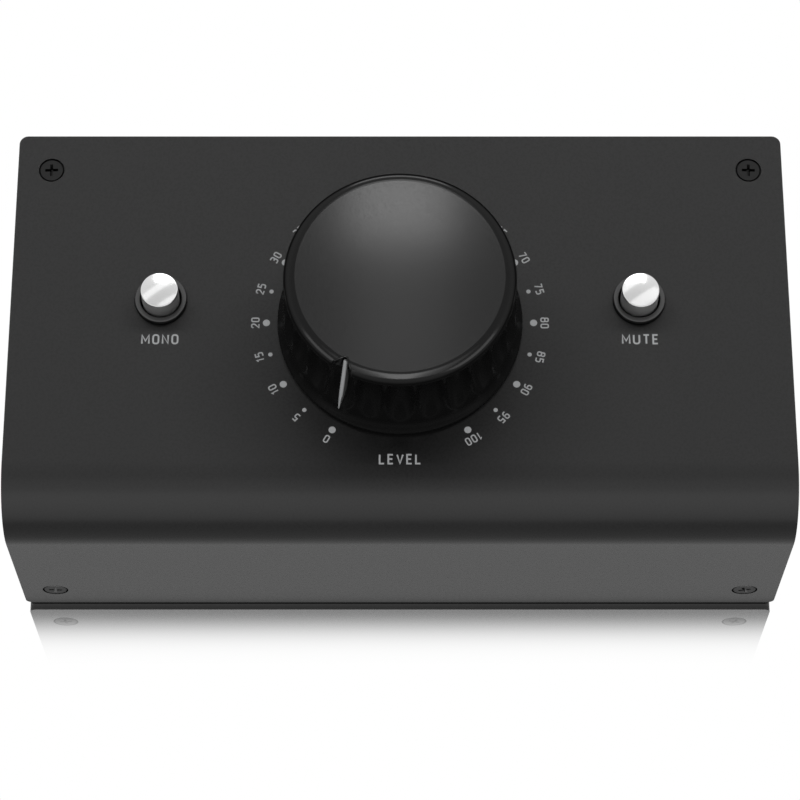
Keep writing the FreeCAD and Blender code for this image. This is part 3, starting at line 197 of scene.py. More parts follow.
def material_ink(colour):
    """Screen-printed ink: flat, matt and a little uneven from the mesh of the screen."""
    material, tree, shader = new_material("screen_printed_ink", Base_Color=colour, Roughness=0.55)
    mesh_marks = grain(tree, shader, 0.12 * MM, 0.002 * MM)
    tint(tree, shader, mesh_marks, shade_of(colour, 0.86), shade_of(colour, 1.1))
    return material


def material_laminate(colour):
    """Solder mask on glass-fibre laminate: glossy lacquer over a woven core."""
    material, tree, shader = new_material("circuit_board_lacquer", Base_Color=colour, Roughness=0.3)
    weave = grain(tree, shader, 0.5 * MM, 0.004 * MM)
    tint(tree, shader, weave, shade_of(colour, 0.7), shade_of(colour, 1.2))
    return material


# ---------------------------------------------------------------- mesh helpers


def new_piece(name, mesh, material, body, replaced=()):
    """A piece of the object: mesh, finish, the body it rides on and the nodes it stands for."""
    piece = bpy.data.objects.new(name, mesh)
    bpy.context.scene.collection.objects.link(piece)
    mesh.materials.clear()
    mesh.materials.append(material)
    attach(piece, body)
    if replaced:
        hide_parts(*replaced)
    return piece


def smooth_but_sharp(mesh, sharp):
    """Shades a mesh smooth, but for edges steeper than the angle in degrees."""
    mesh.polygons.foreach_set("use_smooth", [True] * len(mesh.polygons))
    mesh.set_sharp_from_angle(angle=math.radians(sharp))


def mesh_from(bm, name, sharp=35.0):
    """A smooth mesh with sharp edges, its faces turned outward."""
    bmesh.ops.recalc_face_normals(bm, faces=bm.faces)
    mesh = bpy.data.meshes.new(name)
    bm.to_mesh(mesh)
    bm.free()
    smooth_but_sharp(mesh, sharp)
    return mesh


def settle(piece, sharp=35.0):
    """Applies a piece's modifiers to its mesh."""
    graph = bpy.context.evaluated_depsgraph_get()
    made = bpy.data.meshes.new_from_object(piece.evaluated_get(graph))
    piece.modifiers.clear()
    piece.data = made
    smooth_but_sharp(made, sharp)


def lathe(bm, profile, steps, centre=(0, 0, 0), turn=None):
    """Turns a profile of (radius, height) points about the vertical axis and closes its ends."""
    turn = turn or Matrix.Identity(3)
    centre = Vector(centre)
    rings = []
    for radius, height in profile:
        if radius < 1e-7:
            rings.append([bm.verts.new(centre + turn @ Vector((0, 0, height)))])
            continue
        ring = []
        for step in range(steps):
            angle = 2 * math.pi * step / steps
            spot = Vector((radius * math.cos(angle), radius * math.sin(angle), height))
            ring.append(bm.verts.new(centre + turn @ spot))
        rings.append(ring)
    skin(bm, rings, steps)
    if len(rings[0]) > 1 and profile[0] == profile[-1]:
        bmesh.ops.remove_doubles(bm, verts=rings[0] + rings[-1], dist=1e-7)


def join_rings(bm, lower, upper, steps):
    """Faces between two rings; a ring of one vertex is a point on the axis."""
    for step in range(steps):
        after = (step + 1) % steps
        if len(lower) == 1:
            bm.faces.new((lower[0], upper[after], upper[step]))
        elif len(upper) == 1:
            bm.faces.new((lower[step], lower[after], upper[0]))
        else:
            bm.faces.new((lower[step], lower[after], upper[after], upper[step]))


def skin(bm, rings, steps, ends=False):
    """Faces from each ring to the next, and over the first and the last."""
    for here, there in zip(rings, rings[1:]):
        join_rings(bm, here, there, steps)
    if ends:
        bm.faces.new(rings[0])
        bm.faces.new(rings[-1][::-1])


def tube(bm, sections, radius, place=Vector):
    """A round bar through sections, each with its centre and the two directions across it."""
    corners = 10
    rings = []
    for centre, aside, above in sections:
        ring = []
        for corner in range(corners):
            angle = 2 * math.pi * corner / corners
            outward = aside * math.cos(angle) + above * math.sin(angle)
            ring.append(bm.verts.new(place(centre + outward * radius)))
        rings.append(ring)
    skin(bm, rings, corners, ends=True)


def arc(centre, radius, start, end, steps):
    """Points along an arc, as (radius from the axis, height); angles in degrees."""
    points = []
    for step in range(steps + 1):
        angle = math.radians(start + (end - start) * step / steps)
        points.append((centre[0] + radius * math.cos(angle), centre[1] + radius * math.sin(angle)))
    return points


def cutter(name, bm):
    """A hidden object that a Boolean takes away."""
    mesh = bpy.data.meshes.new(name)
    bmesh.ops.recalc_face_normals(bm, faces=bm.faces)
    bm.to_mesh(mesh)
    bm.free()
    tool = bpy.data.objects.new(name, mesh)
    bpy.context.scene.collection.objects.link(tool)
    return tool


def cut_away(piece, tools, sharp=35.0):
    """Cuts the tools out of a piece, and removes them."""
    for tool in tools:
        modifier = piece.modifiers.new("cut", "BOOLEAN")
        modifier.operation = "DIFFERENCE"
        modifier.solver = "EXACT"
        modifier.object = tool
    bpy.context.view_layer.update()
    settle(piece, sharp)
    for tool in tools:
        mesh = tool.data
        bpy.data.objects.remove(tool)
        bpy.data.meshes.remove(mesh)


def add_bevel(thing, width, segments, angle):
    """Rounds the edges that are sharper than the angle in degrees."""
    bevel = thing.modifiers.new("soft_edges", "BEVEL")
    bevel.width = width
    bevel.segments = segments
    bevel.limit_method = "ANGLE"
    bevel.angle_limit = math.radians(angle)
    return bevel


def soften(node, width, segments=2):
    """Rounds the sharp edges of a CAD node with modifiers, and leaves its mesh as it is."""
    weld = node.modifiers.new("weld", "WELD")
    weld.merge_threshold = 0.002 * MM
    add_bevel(node, width, segments, 40).harden_normals = True


def dress(names, material):
    """Gives CAD nodes a material."""
    for name in names:
        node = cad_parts[name]
        node.data.materials.clear()
        node.data.materials.append(material)


# ---------------------------------------------------------------- settings a user would change


class ControllerSizes(bpy.types.PropertyGroup):
    """Sizes of what is modelled here."""

    sheet: bpy.props.FloatProperty(
        name="Cover sheet", description="Thickness of the cover",
        default=2.0 * MM, unit="LENGTH",
    )
    bend: bpy.props.FloatProperty(
        name="Front bend", description="Outside radius of the front bend",
        default=12.0 * MM, unit="LENGTH",
    )
    rear_corner: bpy.props.FloatProperty(
        name="Rear corner", description="Corner radius at the back",
        default=1.7 * MM, unit="LENGTH",
    )
    front_corner: bpy.props.FloatProperty(
        name="Front corner", description="Lower corner radius of the front",
        default=1.5 * MM, unit="LENGTH",
    )
    edge: bpy.props.FloatProperty(
        name="Edge rounding", description="Rounding of the sheet's edges",
        default=0.3 * MM, unit="LENGTH",
    )
    dial_radius: bpy.props.FloatProperty(
        name="Dial radius", description="Radius of the ring of dots",
        default=25.31 * MM, unit="LENGTH",
    )
    number_radius: bpy.props.FloatProperty(
        name="Number radius", description="Radius of the ring of numbers",
        default=27.4 * MM, unit="LENGTH",
    )
    number_height: bpy.props.FloatProperty(
        name="Number height", description="Height of the dial numbers",
        default=1.63 * MM, unit="LENGTH",
    )
    word_height: bpy.props.FloatProperty(
        name="Word height", description="Height of the printed words",
        default=2.1 * MM, unit="LENGTH",
    )
    flutes: bpy.props.IntProperty(
        name="Flutes", description="Number of flutes round the knob", default=24, min=3
    )
    screw_head: bpy.props.FloatProperty(
        name="Screw head", description="Radius of a countersunk head",
        default=2.2 * MM, unit="LENGTH",
    )
    countersink: bpy.props.FloatProperty(
        name="Countersink", description="Radius of a countersink",
        default=2.5 * MM, unit="LENGTH",
    )
    cap_dome: bpy.props.FloatProperty(
        name="Cap dome", description="Radius of the button caps' domed top",
        default=24.0 * MM, unit="LENGTH",
    )


class ControllerColours(bpy.types.PropertyGroup):
    """Colours of the finishes."""

    coat: bpy.props.FloatVectorProperty(
        name="Powder coat", description="Cover, tray and rear panel", subtype="COLOR", size=4,
        default=linear("#0f0f0f"),
    )
    knob: bpy.props.FloatVectorProperty(
        name="Knob", description="Plastic of the level knob", subtype="COLOR", size=4,
        default=linear("#060606"),
    )
    pointer: bpy.props.FloatVectorProperty(
        name="Pointer", description="Plastic of the pointer", subtype="COLOR", size=4,
        default=linear("#8b8c8d"),
    )
    ink: bpy.props.FloatVectorProperty(
        name="Ink", description="Printed dial and words", subtype="COLOR", size=4,
        default=linear("#969798"),
    )
    bright: bpy.props.FloatVectorProperty(
        name="Button caps", description="Plating of the button caps", subtype="COLOR", size=4,
        default=linear("#c6c6c6"),
    )
    bezel: bpy.props.FloatVectorProperty(
        name="Bezels", description="Rings round the buttons", subtype="COLOR", size=4,
        default=linear("#4c4c4c"),
    )


# ---------------------------------------------------------------- cover


HEAD_LAND = 0.6 * MM  # the straight wall above a countersink's cone
TOOL_ABOVE = 0.5 * MM  # how far a drill stands out of the sheet


def cover_line(sizes):
    """The cover's outer line from the rear edge to the front wall's lower edge.

    Each entry is (half width, place behind the middle, height).
    """
    half = COVER_HIGH.x
    front, rear, low = COVER_LOW.y, COVER_HIGH.y, COVER_LOW.z
    bend = sizes.bend
    line = []
    for step in range(9):
        turn = math.radians(90 * step / 8)
        inward = sizes.rear_corner * (1 - math.sin(turn))
        along = sizes.rear_corner * (1 - math.cos(turn))
        line.append((half - inward, rear - along, TOP))
    line.append((half, front + bend, TOP))
    for step in range(1, 41):
        turn = math.radians(90 * step / 40)
        back, up = front + bend - bend * math.sin(turn), TOP - bend + bend * math.cos(turn)
        line.append((half, back, up))
    for step in range(9):
        turn = math.radians(90 * step / 8)
        inward = sizes.front_corner * (1 - math.cos(turn))
        up = sizes.front_corner * (1 - math.sin(turn))
        line.append((half - inward, front, low + up))
    return line


def screw_places():
    """Where the cover's four screws are, with the direction that each head faces."""
    side = middle("cover_screws_top").y
    height = middle("cover_screws_front").z
    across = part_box("cover_screws_top")[1].x - CAD_HEAD
    up, forward = Vector((0, 0, 1)), Vector((0, -1, 0))
    top = [(Vector((s * across, side, TOP)), up) for s in (-1, 1)]
    front = [(Vector((s * across, COVER_LOW.y, height)), forward) for s in (-1, 1)]
    return top, front


def facing(direction):
    """The rotation that takes +Z to a direction."""
    return direction.to_track_quat("Z", "Y").to_matrix()


class CONTROLLER_OT_cover(bpy.types.Operator):
    """Bends the cover from one sheet and drills it"""

    bl_idname = "controller.cover"
    bl_label = "Cover"

    def execute(self, context):
        """Builds the cover's mesh and its countersinks."""
        sizes = context.scene.controller_sizes
        colours = context.scene.controller_colours
        bm = bmesh.new()
        rows = [
            (bm.verts.new((-half, back, up)), bm.verts.new((half, back, up)))
            for half, back, up in cover_line(sizes)
        ]
        for (left, right), (next_left, next_right) in zip(rows, rows[1:]):
            bm.faces.new((left, next_left, next_right, right))
        mesh = mesh_from(bm, "cover")
        coat = material_powder_coat(colours.coat)
        cover = new_piece("cover", mesh, coat, "enclosure", ["top_cover"])
        if mesh.polygons[0].normal.z < 0:
            mesh.flip_normals()
        solid = cover.modifiers.new("sheet", "SOLIDIFY")
        solid.thickness = sizes.sheet
        solid.offset = -1
        solid.use_even_offset = True
        add_bevel(cover, sizes.edge, 4, 50)
        settle(cover)
        cut_away(cover, self.drills(sizes))
        smooth = cover.modifiers.new("flat_stays_flat", "WEIGHTED_NORMAL")
        smooth.keep_sharp = True
        smooth.weight = 100
        return {"FINISHED"}

    def drills(self, sizes):
        """The tools that cut the screw holes, the button holes and the shaft's hole."""
        tools = []
        top, front = screw_places()
        sink, shank = sizes.countersink, 1.55 * MM
        deep = sizes.sheet * 2
        for spot, direction in top + front:
            profile = [
                (0, -deep), (shank, -deep), (shank, -(sink - shank) - HEAD_LAND),
                (sink, -HEAD_LAND), (sink, TOOL_ABOVE), (0, TOOL_ABOVE),
            ]
            bm = bmesh.new()
            lathe(bm, profile, 64, spot, facing(direction))
            tools.append(cutter("countersink", bm))
        # each bezel sits in a shallow counterbore with a hair of clearance round it
        bore, seat, step, shaft = 4.5 * MM, 5.06 * MM, 0.3 * MM, 3.55 * MM
        bezel_hole = [(bore, -deep), (bore, -step), (seat, -step), (seat, TOOL_ABOVE)]
        shaft_hole = [(shaft, -deep), (shaft, TOOL_ABOVE)]
        for centre, wall in (
            (middle("mono_cap"), bezel_hole),
            (middle("mute_cap"), bezel_hole),
            (KNOB_AXIS, shaft_hole),
        ):
            bm = bmesh.new()
            lathe(bm, [(0, -deep), *wall, (0, TOOL_ABOVE)], 64, (centre.x, centre.y, TOP))
            tools.append(cutter("hole", bm))
        return tools


# ---------------------------------------------------------------- screws


def cross_wing(bm):
    """One bar of a cross recess, which narrows towards its floor."""
    half, reach, depth, above = 0.3 * MM, 1.42 * MM, 1.1 * MM, 0.3 * MM
    ends = []
    for height, long, wide in ((above, reach, half), (-depth, reach * 0.45, half * 0.7)):
        corners = ((-1, -1), (1, -1), (1, 1), (-1, 1))
        ends.append([bm.verts.new((x * long, y * wide, height)) for x, y in corners])
    top, floor = ends
    bm.faces.new(top)
    bm.faces.new(floor[::-1])
    for place in range(4):
        after = (place + 1) % 4
        bm.faces.new((top[place], floor[place], floor[after], top[after]))


def recess_tools(spot, direction, turn):
    """The two bars that cut a cross recess in a screw's head."""
    tools = []
    for quarter in (0, 90):
        bm = bmesh.new()
        cross_wing(bm)
        around = Matrix.Rotation(math.radians(turn + quarter), 3, "Z")
        bmesh.ops.transform(bm, matrix=(facing(direction) @ around).to_4x4(), verts=bm.verts)
        bmesh.ops.translate(bm, vec=spot, verts=bm.verts)
        tools.append(cutter("recess", bm))
    return tools


class CONTROLLER_OT_screws(bpy.types.Operator):
    """Makes the countersunk and the pan-head screws"""

    bl_idname = "controller.screws"
    bl_label = "Screws"

    def execute(self, context):
        """Builds each group of screws as one piece."""
        sizes = context.scene.controller_sizes
        # black zinc on turned steel: dark, satin, with a faint metallic sheen
        finish = material_metal(
            "black_zinc_steel", linear("#2c2c2c"), 0.42, 0.3 * MM, 0.001 * MM, edge=0.58
        )
        head, shank, chamfer, curve = sizes.screw_head, 1.5 * MM, 0.08 * MM, 0.9 * MM
        flush = [
            (0, -6 * MM), (shank, -6 * MM), (shank, -(head - shank) - 0.7 * MM),
            (head, -HEAD_LAND), (head, -chamfer), (head - chamfer, 0), (0, 0),
        ]
        pan = [
            (0, -7 * MM), (shank, -7 * MM), (shank, 0), (2.6 * MM, 0), (2.6 * MM, curve),
            *arc((1.7 * MM, curve), curve, 0, 90, 6)[1:], (0, 1.8 * MM),
        ]
        top, front = screw_places()
        panel_low, panel_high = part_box("rear_panel_screws")
        backward = Vector((0, 1, 0))
        sides = (panel_low.x + CAD_HEAD, panel_high.x - CAD_HEAD)
        heights = (panel_low.z + CAD_HEAD, panel_high.z - CAD_HEAD)
        panel = [(Vector((x, PANEL_OUT, z)), backward) for x in sides for z in heights]
        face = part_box("left_input_shell")[1].y
        # each socket's flange has a screw at two opposite corners
        aside, above = 9.5 * MM, 12 * MM
        sockets = []
        for name in SOCKETS:
            centre = middle(f"{name}_shell")
            for sign in (-1, 1):
                spot = Vector((centre.x + sign * aside, face, centre.z + sign * above))
                sockets.append((spot, backward))
        # how far each screw was driven, in degrees
        turns = iter((2, 88, 84, 22, 40, 15, 63, 5, 30, 71, 12, 50, 81, 35, 58, 20))
        for name, places, profile, node in (
            ("screws_top", top, flush, "cover_screws_top"),
            ("screws_front", front, flush, "cover_screws_front"),
            ("screws_rear", panel, flush, "rear_panel_screws"),
            ("screws_sockets", sockets, pan, "socket_screws"),
        ):
            bm = bmesh.new()
            tools = []
            for spot, direction in places:
                lathe(bm, profile, 48, spot, facing(direction))
                raised = profile[-1][1]
                tools += recess_tools(spot + direction * raised, direction, next(turns))
            mesh = mesh_from(bm, name)
            piece = new_piece(name, mesh, finish, "enclosure", [node])
            cut_away(piece, tools)
        return {"FINISHED"}


# ---------------------------------------------------------------- knob

# Lengths in this section are in millimetres, and heights are above the panel.
CROWN_TOP, CROWN_BALL = 22.0, 224.0  # the crown is a shallow cap of a ball of this radius
CROWN_EDGE = 19.3  # radius where the grained crown ends and the rim rolls over
CROWN_LOW, FLUTES_HIGH = 20.5, 19.0  # the grain is only above, the duller side only below
RIM_LOW, RIM_WIDE, RIM_HIGH = 19.6, 2.17, 1.56  # the rim is a quarter of an ellipse
FOOT_RADIUS, FOOT_HIGH = 23.16, 1.2
WAIST_RADIUS, WAIST_HIGH = 22.0, 3.9
FLARE, FLARE_TALL = 1.16, 2.7  # from the waist out to the foot
SIDE_SLOPE = 15.5  # the side leans in by one part in this many
WHEEL_FLAT, WHEEL_ROUND = 15.75, 2.75  # the wheel that cuts a flute, and its rounded edge
WHEEL_FAR, WHEEL_HIGH = 37.7, 14.0  # its centre, from the axis and above the panel
RIDGE_EASE = 0.3
PER_FLUTE = 20  # vertices round each flute
FLUTE_BEARING = 240  # degrees from +X to the middle of a flute
POINTER_BEARING = 239.7  # degrees from +X, at the scale's zero
NOTCH_BEARING = 240.3


def crest_radius(height):
    """The knob's side between flutes, as radius at a height."""
    if height <= FOOT_HIGH:
        return FOOT_RADIUS
    if height <= WAIST_HIGH:
        share = (height - FOOT_HIGH) / FLARE_TALL
        return FOOT_RADIUS - FLARE * (1 - (1 - share) ** 1.8)
    return WAIST_RADIUS - (height - WAIST_HIGH) / SIDE_SLOPE


def flute_floor(height, angle):
    """The flute's surface, as radius at a height and an angle from its middle; None outside."""
    radius = 20.0
    for _ in range(5):
        aside = radius * math.sin(angle)
        if abs(aside) >= WHEEL_ROUND:
            return None
        wheel = WHEEL_FLAT + math.sqrt(WHEEL_ROUND**2 - aside**2)
        inside = wheel**2 - (height - WHEEL_HIGH) ** 2
        if inside <= 0:
            return None
        radius = (WHEEL_FAR - math.sqrt(inside)) / math.cos(angle)
    return radius


def side_radius(height, angle):
    """Crest or flute, whichever is nearer the axis, with the ridge between them eased."""
    crest = crest_radius(height)
    floor = flute_floor(height, angle)
    if floor is None:
        return crest
    mix = max(RIDGE_EASE - abs(crest - floor), 0.0) / RIDGE_EASE
    return min(crest, floor) - mix * mix * RIDGE_EASE / 4


def crown_height(radius):
    """Height of the crown's ball at a radius."""
    return CROWN_TOP - CROWN_BALL + math.sqrt(CROWN_BALL**2 - radius**2)


def rim_height(radius):
    """Height of the crown or the rim at a radius."""
    share = min(max((radius - CROWN_EDGE) / RIM_WIDE, 0), 1)
    return min(RIM_LOW + RIM_HIGH * math.sqrt(1 - share**2), crown_height(radius))


def on_knob(bearing):
    """A function that sets a point on the knob, given as if the bearing were +X."""
    turn = Matrix.Rotation(math.radians(bearing), 3, "Z")
    return lambda point: KNOB_AXIS + turn @ (Vector(point) * MM)


class CONTROLLER_OT_knob(bpy.types.Operator):
    """Turns and flutes the level knob, with its rim, notch and pointer"""

    bl_idname = "controller.knob"
    bl_label = "Level knob"

    def execute(self, context):
        """Builds the knob and the pointer."""
        sizes = context.scene.controller_sizes
        colours = context.scene.controller_colours
        black = colours.knob
        # black ABS from a polished mould: deep black with a clear, thin gloss
        polished = material_moulded("polished_black_abs", black, 0.16, 0.3 * MM, 0.0005 * MM, 1.2)
        # the crown of the same mould was spark-eroded: a broad soft gloss with a leathery grain
        grained = material_moulded("grained_black_abs", black, 0.2, 0.32 * MM, 0.0035 * MM, 1.32)
        # the flutes draw out of the mould along their length, which leaves them a little duller
        drawn = material_moulded("satin_black_abs", black, 0.26, 0.3 * MM, 0.0005 * MM, 1.15)
        # grey ABS from an eroded mould: pale and matt
        pale = material_moulded("moulded_grey_abs", colours.pointer, 0.5)
        bm = bmesh.new()
        self.side_and_rim(bm, sizes.flutes)
        mesh = mesh_from(bm, "knob", 40)
        knob = new_piece("knob", mesh, polished, "knob", ["level_knob"])
        mesh.materials.append(grained)
        mesh.materials.append(drawn)
        for face in mesh.polygons:
            aside = face.center - KNOB_AXIS
            near = math.hypot(aside.x, aside.y) < CROWN_EDGE * MM
            on_crown = near and aside.z > CROWN_LOW * MM
            face.material_index = 1 if on_crown else 2 if aside.z < FLUTES_HIGH * MM else 0
        cut_away(knob, [self.notch()], 40)
        bm = bmesh.new()
        bm.from_mesh(knob.data)
        self.lip(bm)
        bm.to_mesh(knob.data)
        bm.free()
        bm = bmesh.new()
        self.blade(bm)
        mesh = mesh_from(bm, "pointer", 50)
        new_piece("pointer", mesh, pale, "knob", ["knob_pointer"])
        # painted shade: only the blade's outer edge keeps the pale grey; its flanks, which lie in
        # the notch's shade, are given a darker grey
        mesh.materials.append(material_moulded("moulded_dark_grey_abs", linear("#464646"), 0.5))
        bearing = math.radians(POINTER_BEARING)
        outward = Vector((math.cos(bearing), math.sin(bearing), 0))
        # faces that look outward stay pale, all others take the painted shade
        for face in mesh.polygons:
            face.material_index = 0 if face.normal.dot(outward) > 0.3 else 1
        return {"FINISHED"}

    def side_and_rim(self, bm, flutes):
        """One closed skin from the hollow inside, over the foot, side and rim, to the crown."""
        steps = flutes * PER_FLUTE
        # radius and height in the hollow, with the sleeve round the hub insert, and of the foot
        inside = [
            (0, 17.0), (4.25, 17.0), (4.25, 5.6), (6.2, 5.6), (6.2, 17.0), (17.0, 17.0),
            (17.0, 8.5), (20.4, 3.0), (20.4, 0.78), (20.5, 0.7), (23.04, 0.7), (23.13, 0.75),
        ]
        heights = [0.84, 1.2, 1.5, 1.9, 2.3, 2.8, 3.3, 3.8, 4.2, 4.6, 5.0, 5.5]
        heights += [6.0 + 0.7 * n for n in range(19)] + [19.2, 19.38]
        rim = [(21.3, 19.38), (21.42, 19.43), (21.47, 19.52)]
        for step in range(19):
            turn = math.radians(90 - step * 83 / 18)
            out, up = RIM_WIDE * math.sin(turn), RIM_HIGH * math.cos(turn)
            rim.append((CROWN_EDGE + out, RIM_LOW + up))
        dome = [CROWN_EDGE, 19.0, 18.0, 16.5, 14.5, 12.0, 9.0, 6.0, 3.0, 1.0]
        rim += [(radius, crown_height(radius)) for radius in dome]
        rows = [[spot] * steps for spot in inside]
        for height in heights:
            row = []
            for step in range(steps):
                off = (step + PER_FLUTE / 2) % PER_FLUTE - PER_FLUTE / 2
                row.append((side_radius(height, 2 * math.pi * off / steps), height))
            rows.append(row)
        rows += [[spot] * steps for spot in rim]
        rows.append([(0, CROWN_TOP)] * steps)
        rings = []
        start = math.radians(FLUTE_BEARING)
        for row in rows:
            if row[0][0] == 0:
                rings.append([bm.verts.new(KNOB_AXIS + Vector((0, 0, row[0][1] * MM)))])
                continue
            ring = []
            for step, (radius, height) in enumerate(row):
                angle = start + 2 * math.pi * step / steps
                spot = Vector((radius * math.cos(angle), radius * math.sin(angle), height)) * MM
                ring.append(bm.verts.new(KNOB_AXIS + spot))
            rings.append(ring)
        skin(bm, rings, steps)

    def notch_corners(self):
        """The V's outline seen from above: across the open end, then round the nose."""
        inner, nose, slope, aside = 19.0, 0.5, 42, -0.3
        corners = [(24.24, -5.0), (24.24, 5.0)]
        for step in range(9):
            bearing = math.radians(90 + slope + (180 - 2 * slope) * step / 8)
            out, across = nose * math.cos(bearing), nose * math.sin(bearing)
            corners.append((inner + nose + out, aside + across))
        return corners

    def lip(self, bm):
        """The rounded edge of the V, where the rim turns down into it."""
        reach, sink, thick, steps = 21.35, 0.05, 0.2, 12
        without = len(bm.faces)
        corners = self.notch_corners()
        track = []
        for (x, y), (next_x, next_y) in zip(corners[1:], corners[2:] + corners[:1]):
            for step in range(steps):
                share = step / steps
                spot = Vector((x + (next_x - x) * share, y + (next_y - y) * share))
                if spot.length < reach:
                    track.append(Vector((*spot, rim_height(spot.length) - sink)))
        sections = []
        for place, spot in enumerate(track):
            before, after = track[max(place - 1, 0)], track[min(place + 1, len(track) - 1)]
            along = (after - before).normalized()
            aside = along.cross(Vector((0, 0, 1))).normalized()
            sections.append((spot, aside, aside.cross(along)))
        tube(bm, sections, thick, on_knob(NOTCH_BEARING))
        bm.faces.ensure_lookup_table()
        added = bm.faces[without:]
        bmesh.ops.recalc_face_normals(bm, faces=added)
        for face in added:
            face.smooth = True

    def notch(self):
        """The tool that cuts the V in the rim above the pointer."""
        bm = bmesh.new()
        corners = self.notch_corners()
        place = on_knob(NOTCH_BEARING)
        low, high = (
            [bm.verts.new(place((x, y, height))) for x, y in corners] for height in (17.6, 24.0)
        )
        bm.faces.new(low[::-1])
        bm.faces.new(high)
        join_rings(bm, low, high, len(corners))
        return cutter("notch", bm)

    def blade(self, bm):
        """The pointer: a thin upright blade whose rounded head narrows to a point at the foot."""
        # half the width, the least of it, and the share of the length that the round head takes
        half, least, head = 0.4, 0.07, 0.025
        rings = []
        shares = [0.0, 0.003, 0.008, 0.015, head] + [0.04 + 0.96 * n / 24 for n in range(25)]
        for share in shares:
            place = on_knob(POINTER_BEARING - 0.6 * share)
            outer = 19.7 + 2.6 * share
            height = 20.9 - 17.2 * share
            full = math.sqrt(max(1 - (1 - share / head) ** 2, 0.02)) if share < head else 1.0
            wide = max(half * full * (1 - max(share - 0.6, 0) ** 1.6 * 2.9), least)
            root = outer - 0.3 - 1.4 * math.sin(math.pi / 2 * min(share * 4, 1))
            side = [(root, 1.0), (outer - 0.3, 1.0), (outer - 0.08, 0.8), (outer, 0.4)]
            section = [(x, -wide * part) for x, part in side]
            section += [(x, wide * part) for x, part in reversed(side)]
            rings.append([bm.verts.new(place((x, y, height))) for x, y in section])
        skin(bm, rings, 8, ends=True)


# ---------------------------------------------------------------- buttons


class CONTROLLER_OT_buttons(bpy.types.Operator):
    """Turns the two bright caps and their bezel rings"""

    bl_idname = "controller.buttons"
    bl_label = "Buttons"

    def execute(self, context):
        """Builds a cap and a bezel for each button."""
        sizes = context.scene.controller_sizes
        colours = context.scene.controller_colours
        # chrome plate on a turned brass cap: a mirror, with the faintest turning marks
        plate = material_metal("chrome_plated_brass", colours.bright, 0.1, 0.5 * MM, 0.0002 * MM)
        # the cap's side is left as turned under the plating: satin, with rings round it
        side = material_metal(
            "satin_chrome_plate", linear("#b8b8b8"), 0.5, 0.3 * MM, 0.0006 * MM, (1, 1, 6)
        )
        # black anodised aluminium, turned: satin, a little lighter than the coat round it
        anodised = material_metal(
            "black_anodised_aluminium", colours.bezel, 0.35, 0.25 * MM, 0.0008 * MM
        )
        for name in ("mono", "mute"):
            low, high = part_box(f"{name}_cap")
            centre = ((low.x + high.x) / 2, (low.y + high.y) / 2, 0)
            radius = (high.x - low.x) / 2
            edge = 0.22 * MM
            ball = sizes.cap_dome
            flat = radius - edge
            rise = ball - math.sqrt(ball**2 - flat**2)
            reaches = [flat * step / 8 for step in range(9)]
            crown = [(r, high.z - ball + math.sqrt(ball**2 - r**2)) for r in reaches]
            shoulder = arc((flat, high.z - rise - edge), edge, 90, 0, 6)
            skirt = [(radius, low.z + 0.2 * MM), (radius - 0.2 * MM, low.z)]
            socket = [(2.2 * MM, low.z), (2.2 * MM, low.z + 3.4 * MM), (0, low.z + 3.4 * MM)]
            bm = bmesh.new()
            lathe(bm, crown + shoulder[1:] + skirt + socket, 96, centre)
            cap = f"{name}_button_cap"
            mesh = mesh_from(bm, cap, 50)
            new_piece(cap, mesh, plate, f"{name}_button", [f"{name}_cap"])
            mesh.materials.append(side)
            for face in mesh.polygons:
                face.material_index = 1 if face.center.z < high.z - rise - edge else 0

            bezel = f"{name}_bezel"
            foot, rim = (corner.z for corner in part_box(bezel))
            outer, bore, sleeve, seat = 4.88 * MM, 3.92 * MM, 4.45 * MM, TOP - 0.25 * MM
            edge = 0.16 * MM
            profile = [
                (bore, foot), (bore, rim - 0.1 * MM), (bore + 0.08 * MM, rim - 0.02 * MM),
                (bore + 0.14 * MM, rim), *arc((outer - edge, rim - edge), edge, 90, 10, 4),
                (outer, seat), (sleeve, seat), (sleeve, foot), (bore, foot),
            ]
            bm = bmesh.new()
            lathe(bm, profile, 96, centre)
            mesh = mesh_from(bm, f"{name}_ring", 30)
            new_piece(f"{name}_ring", mesh, anodised, "enclosure", [bezel])
        return {"FINISHED"}


# ---------------------------------------------------------------- print

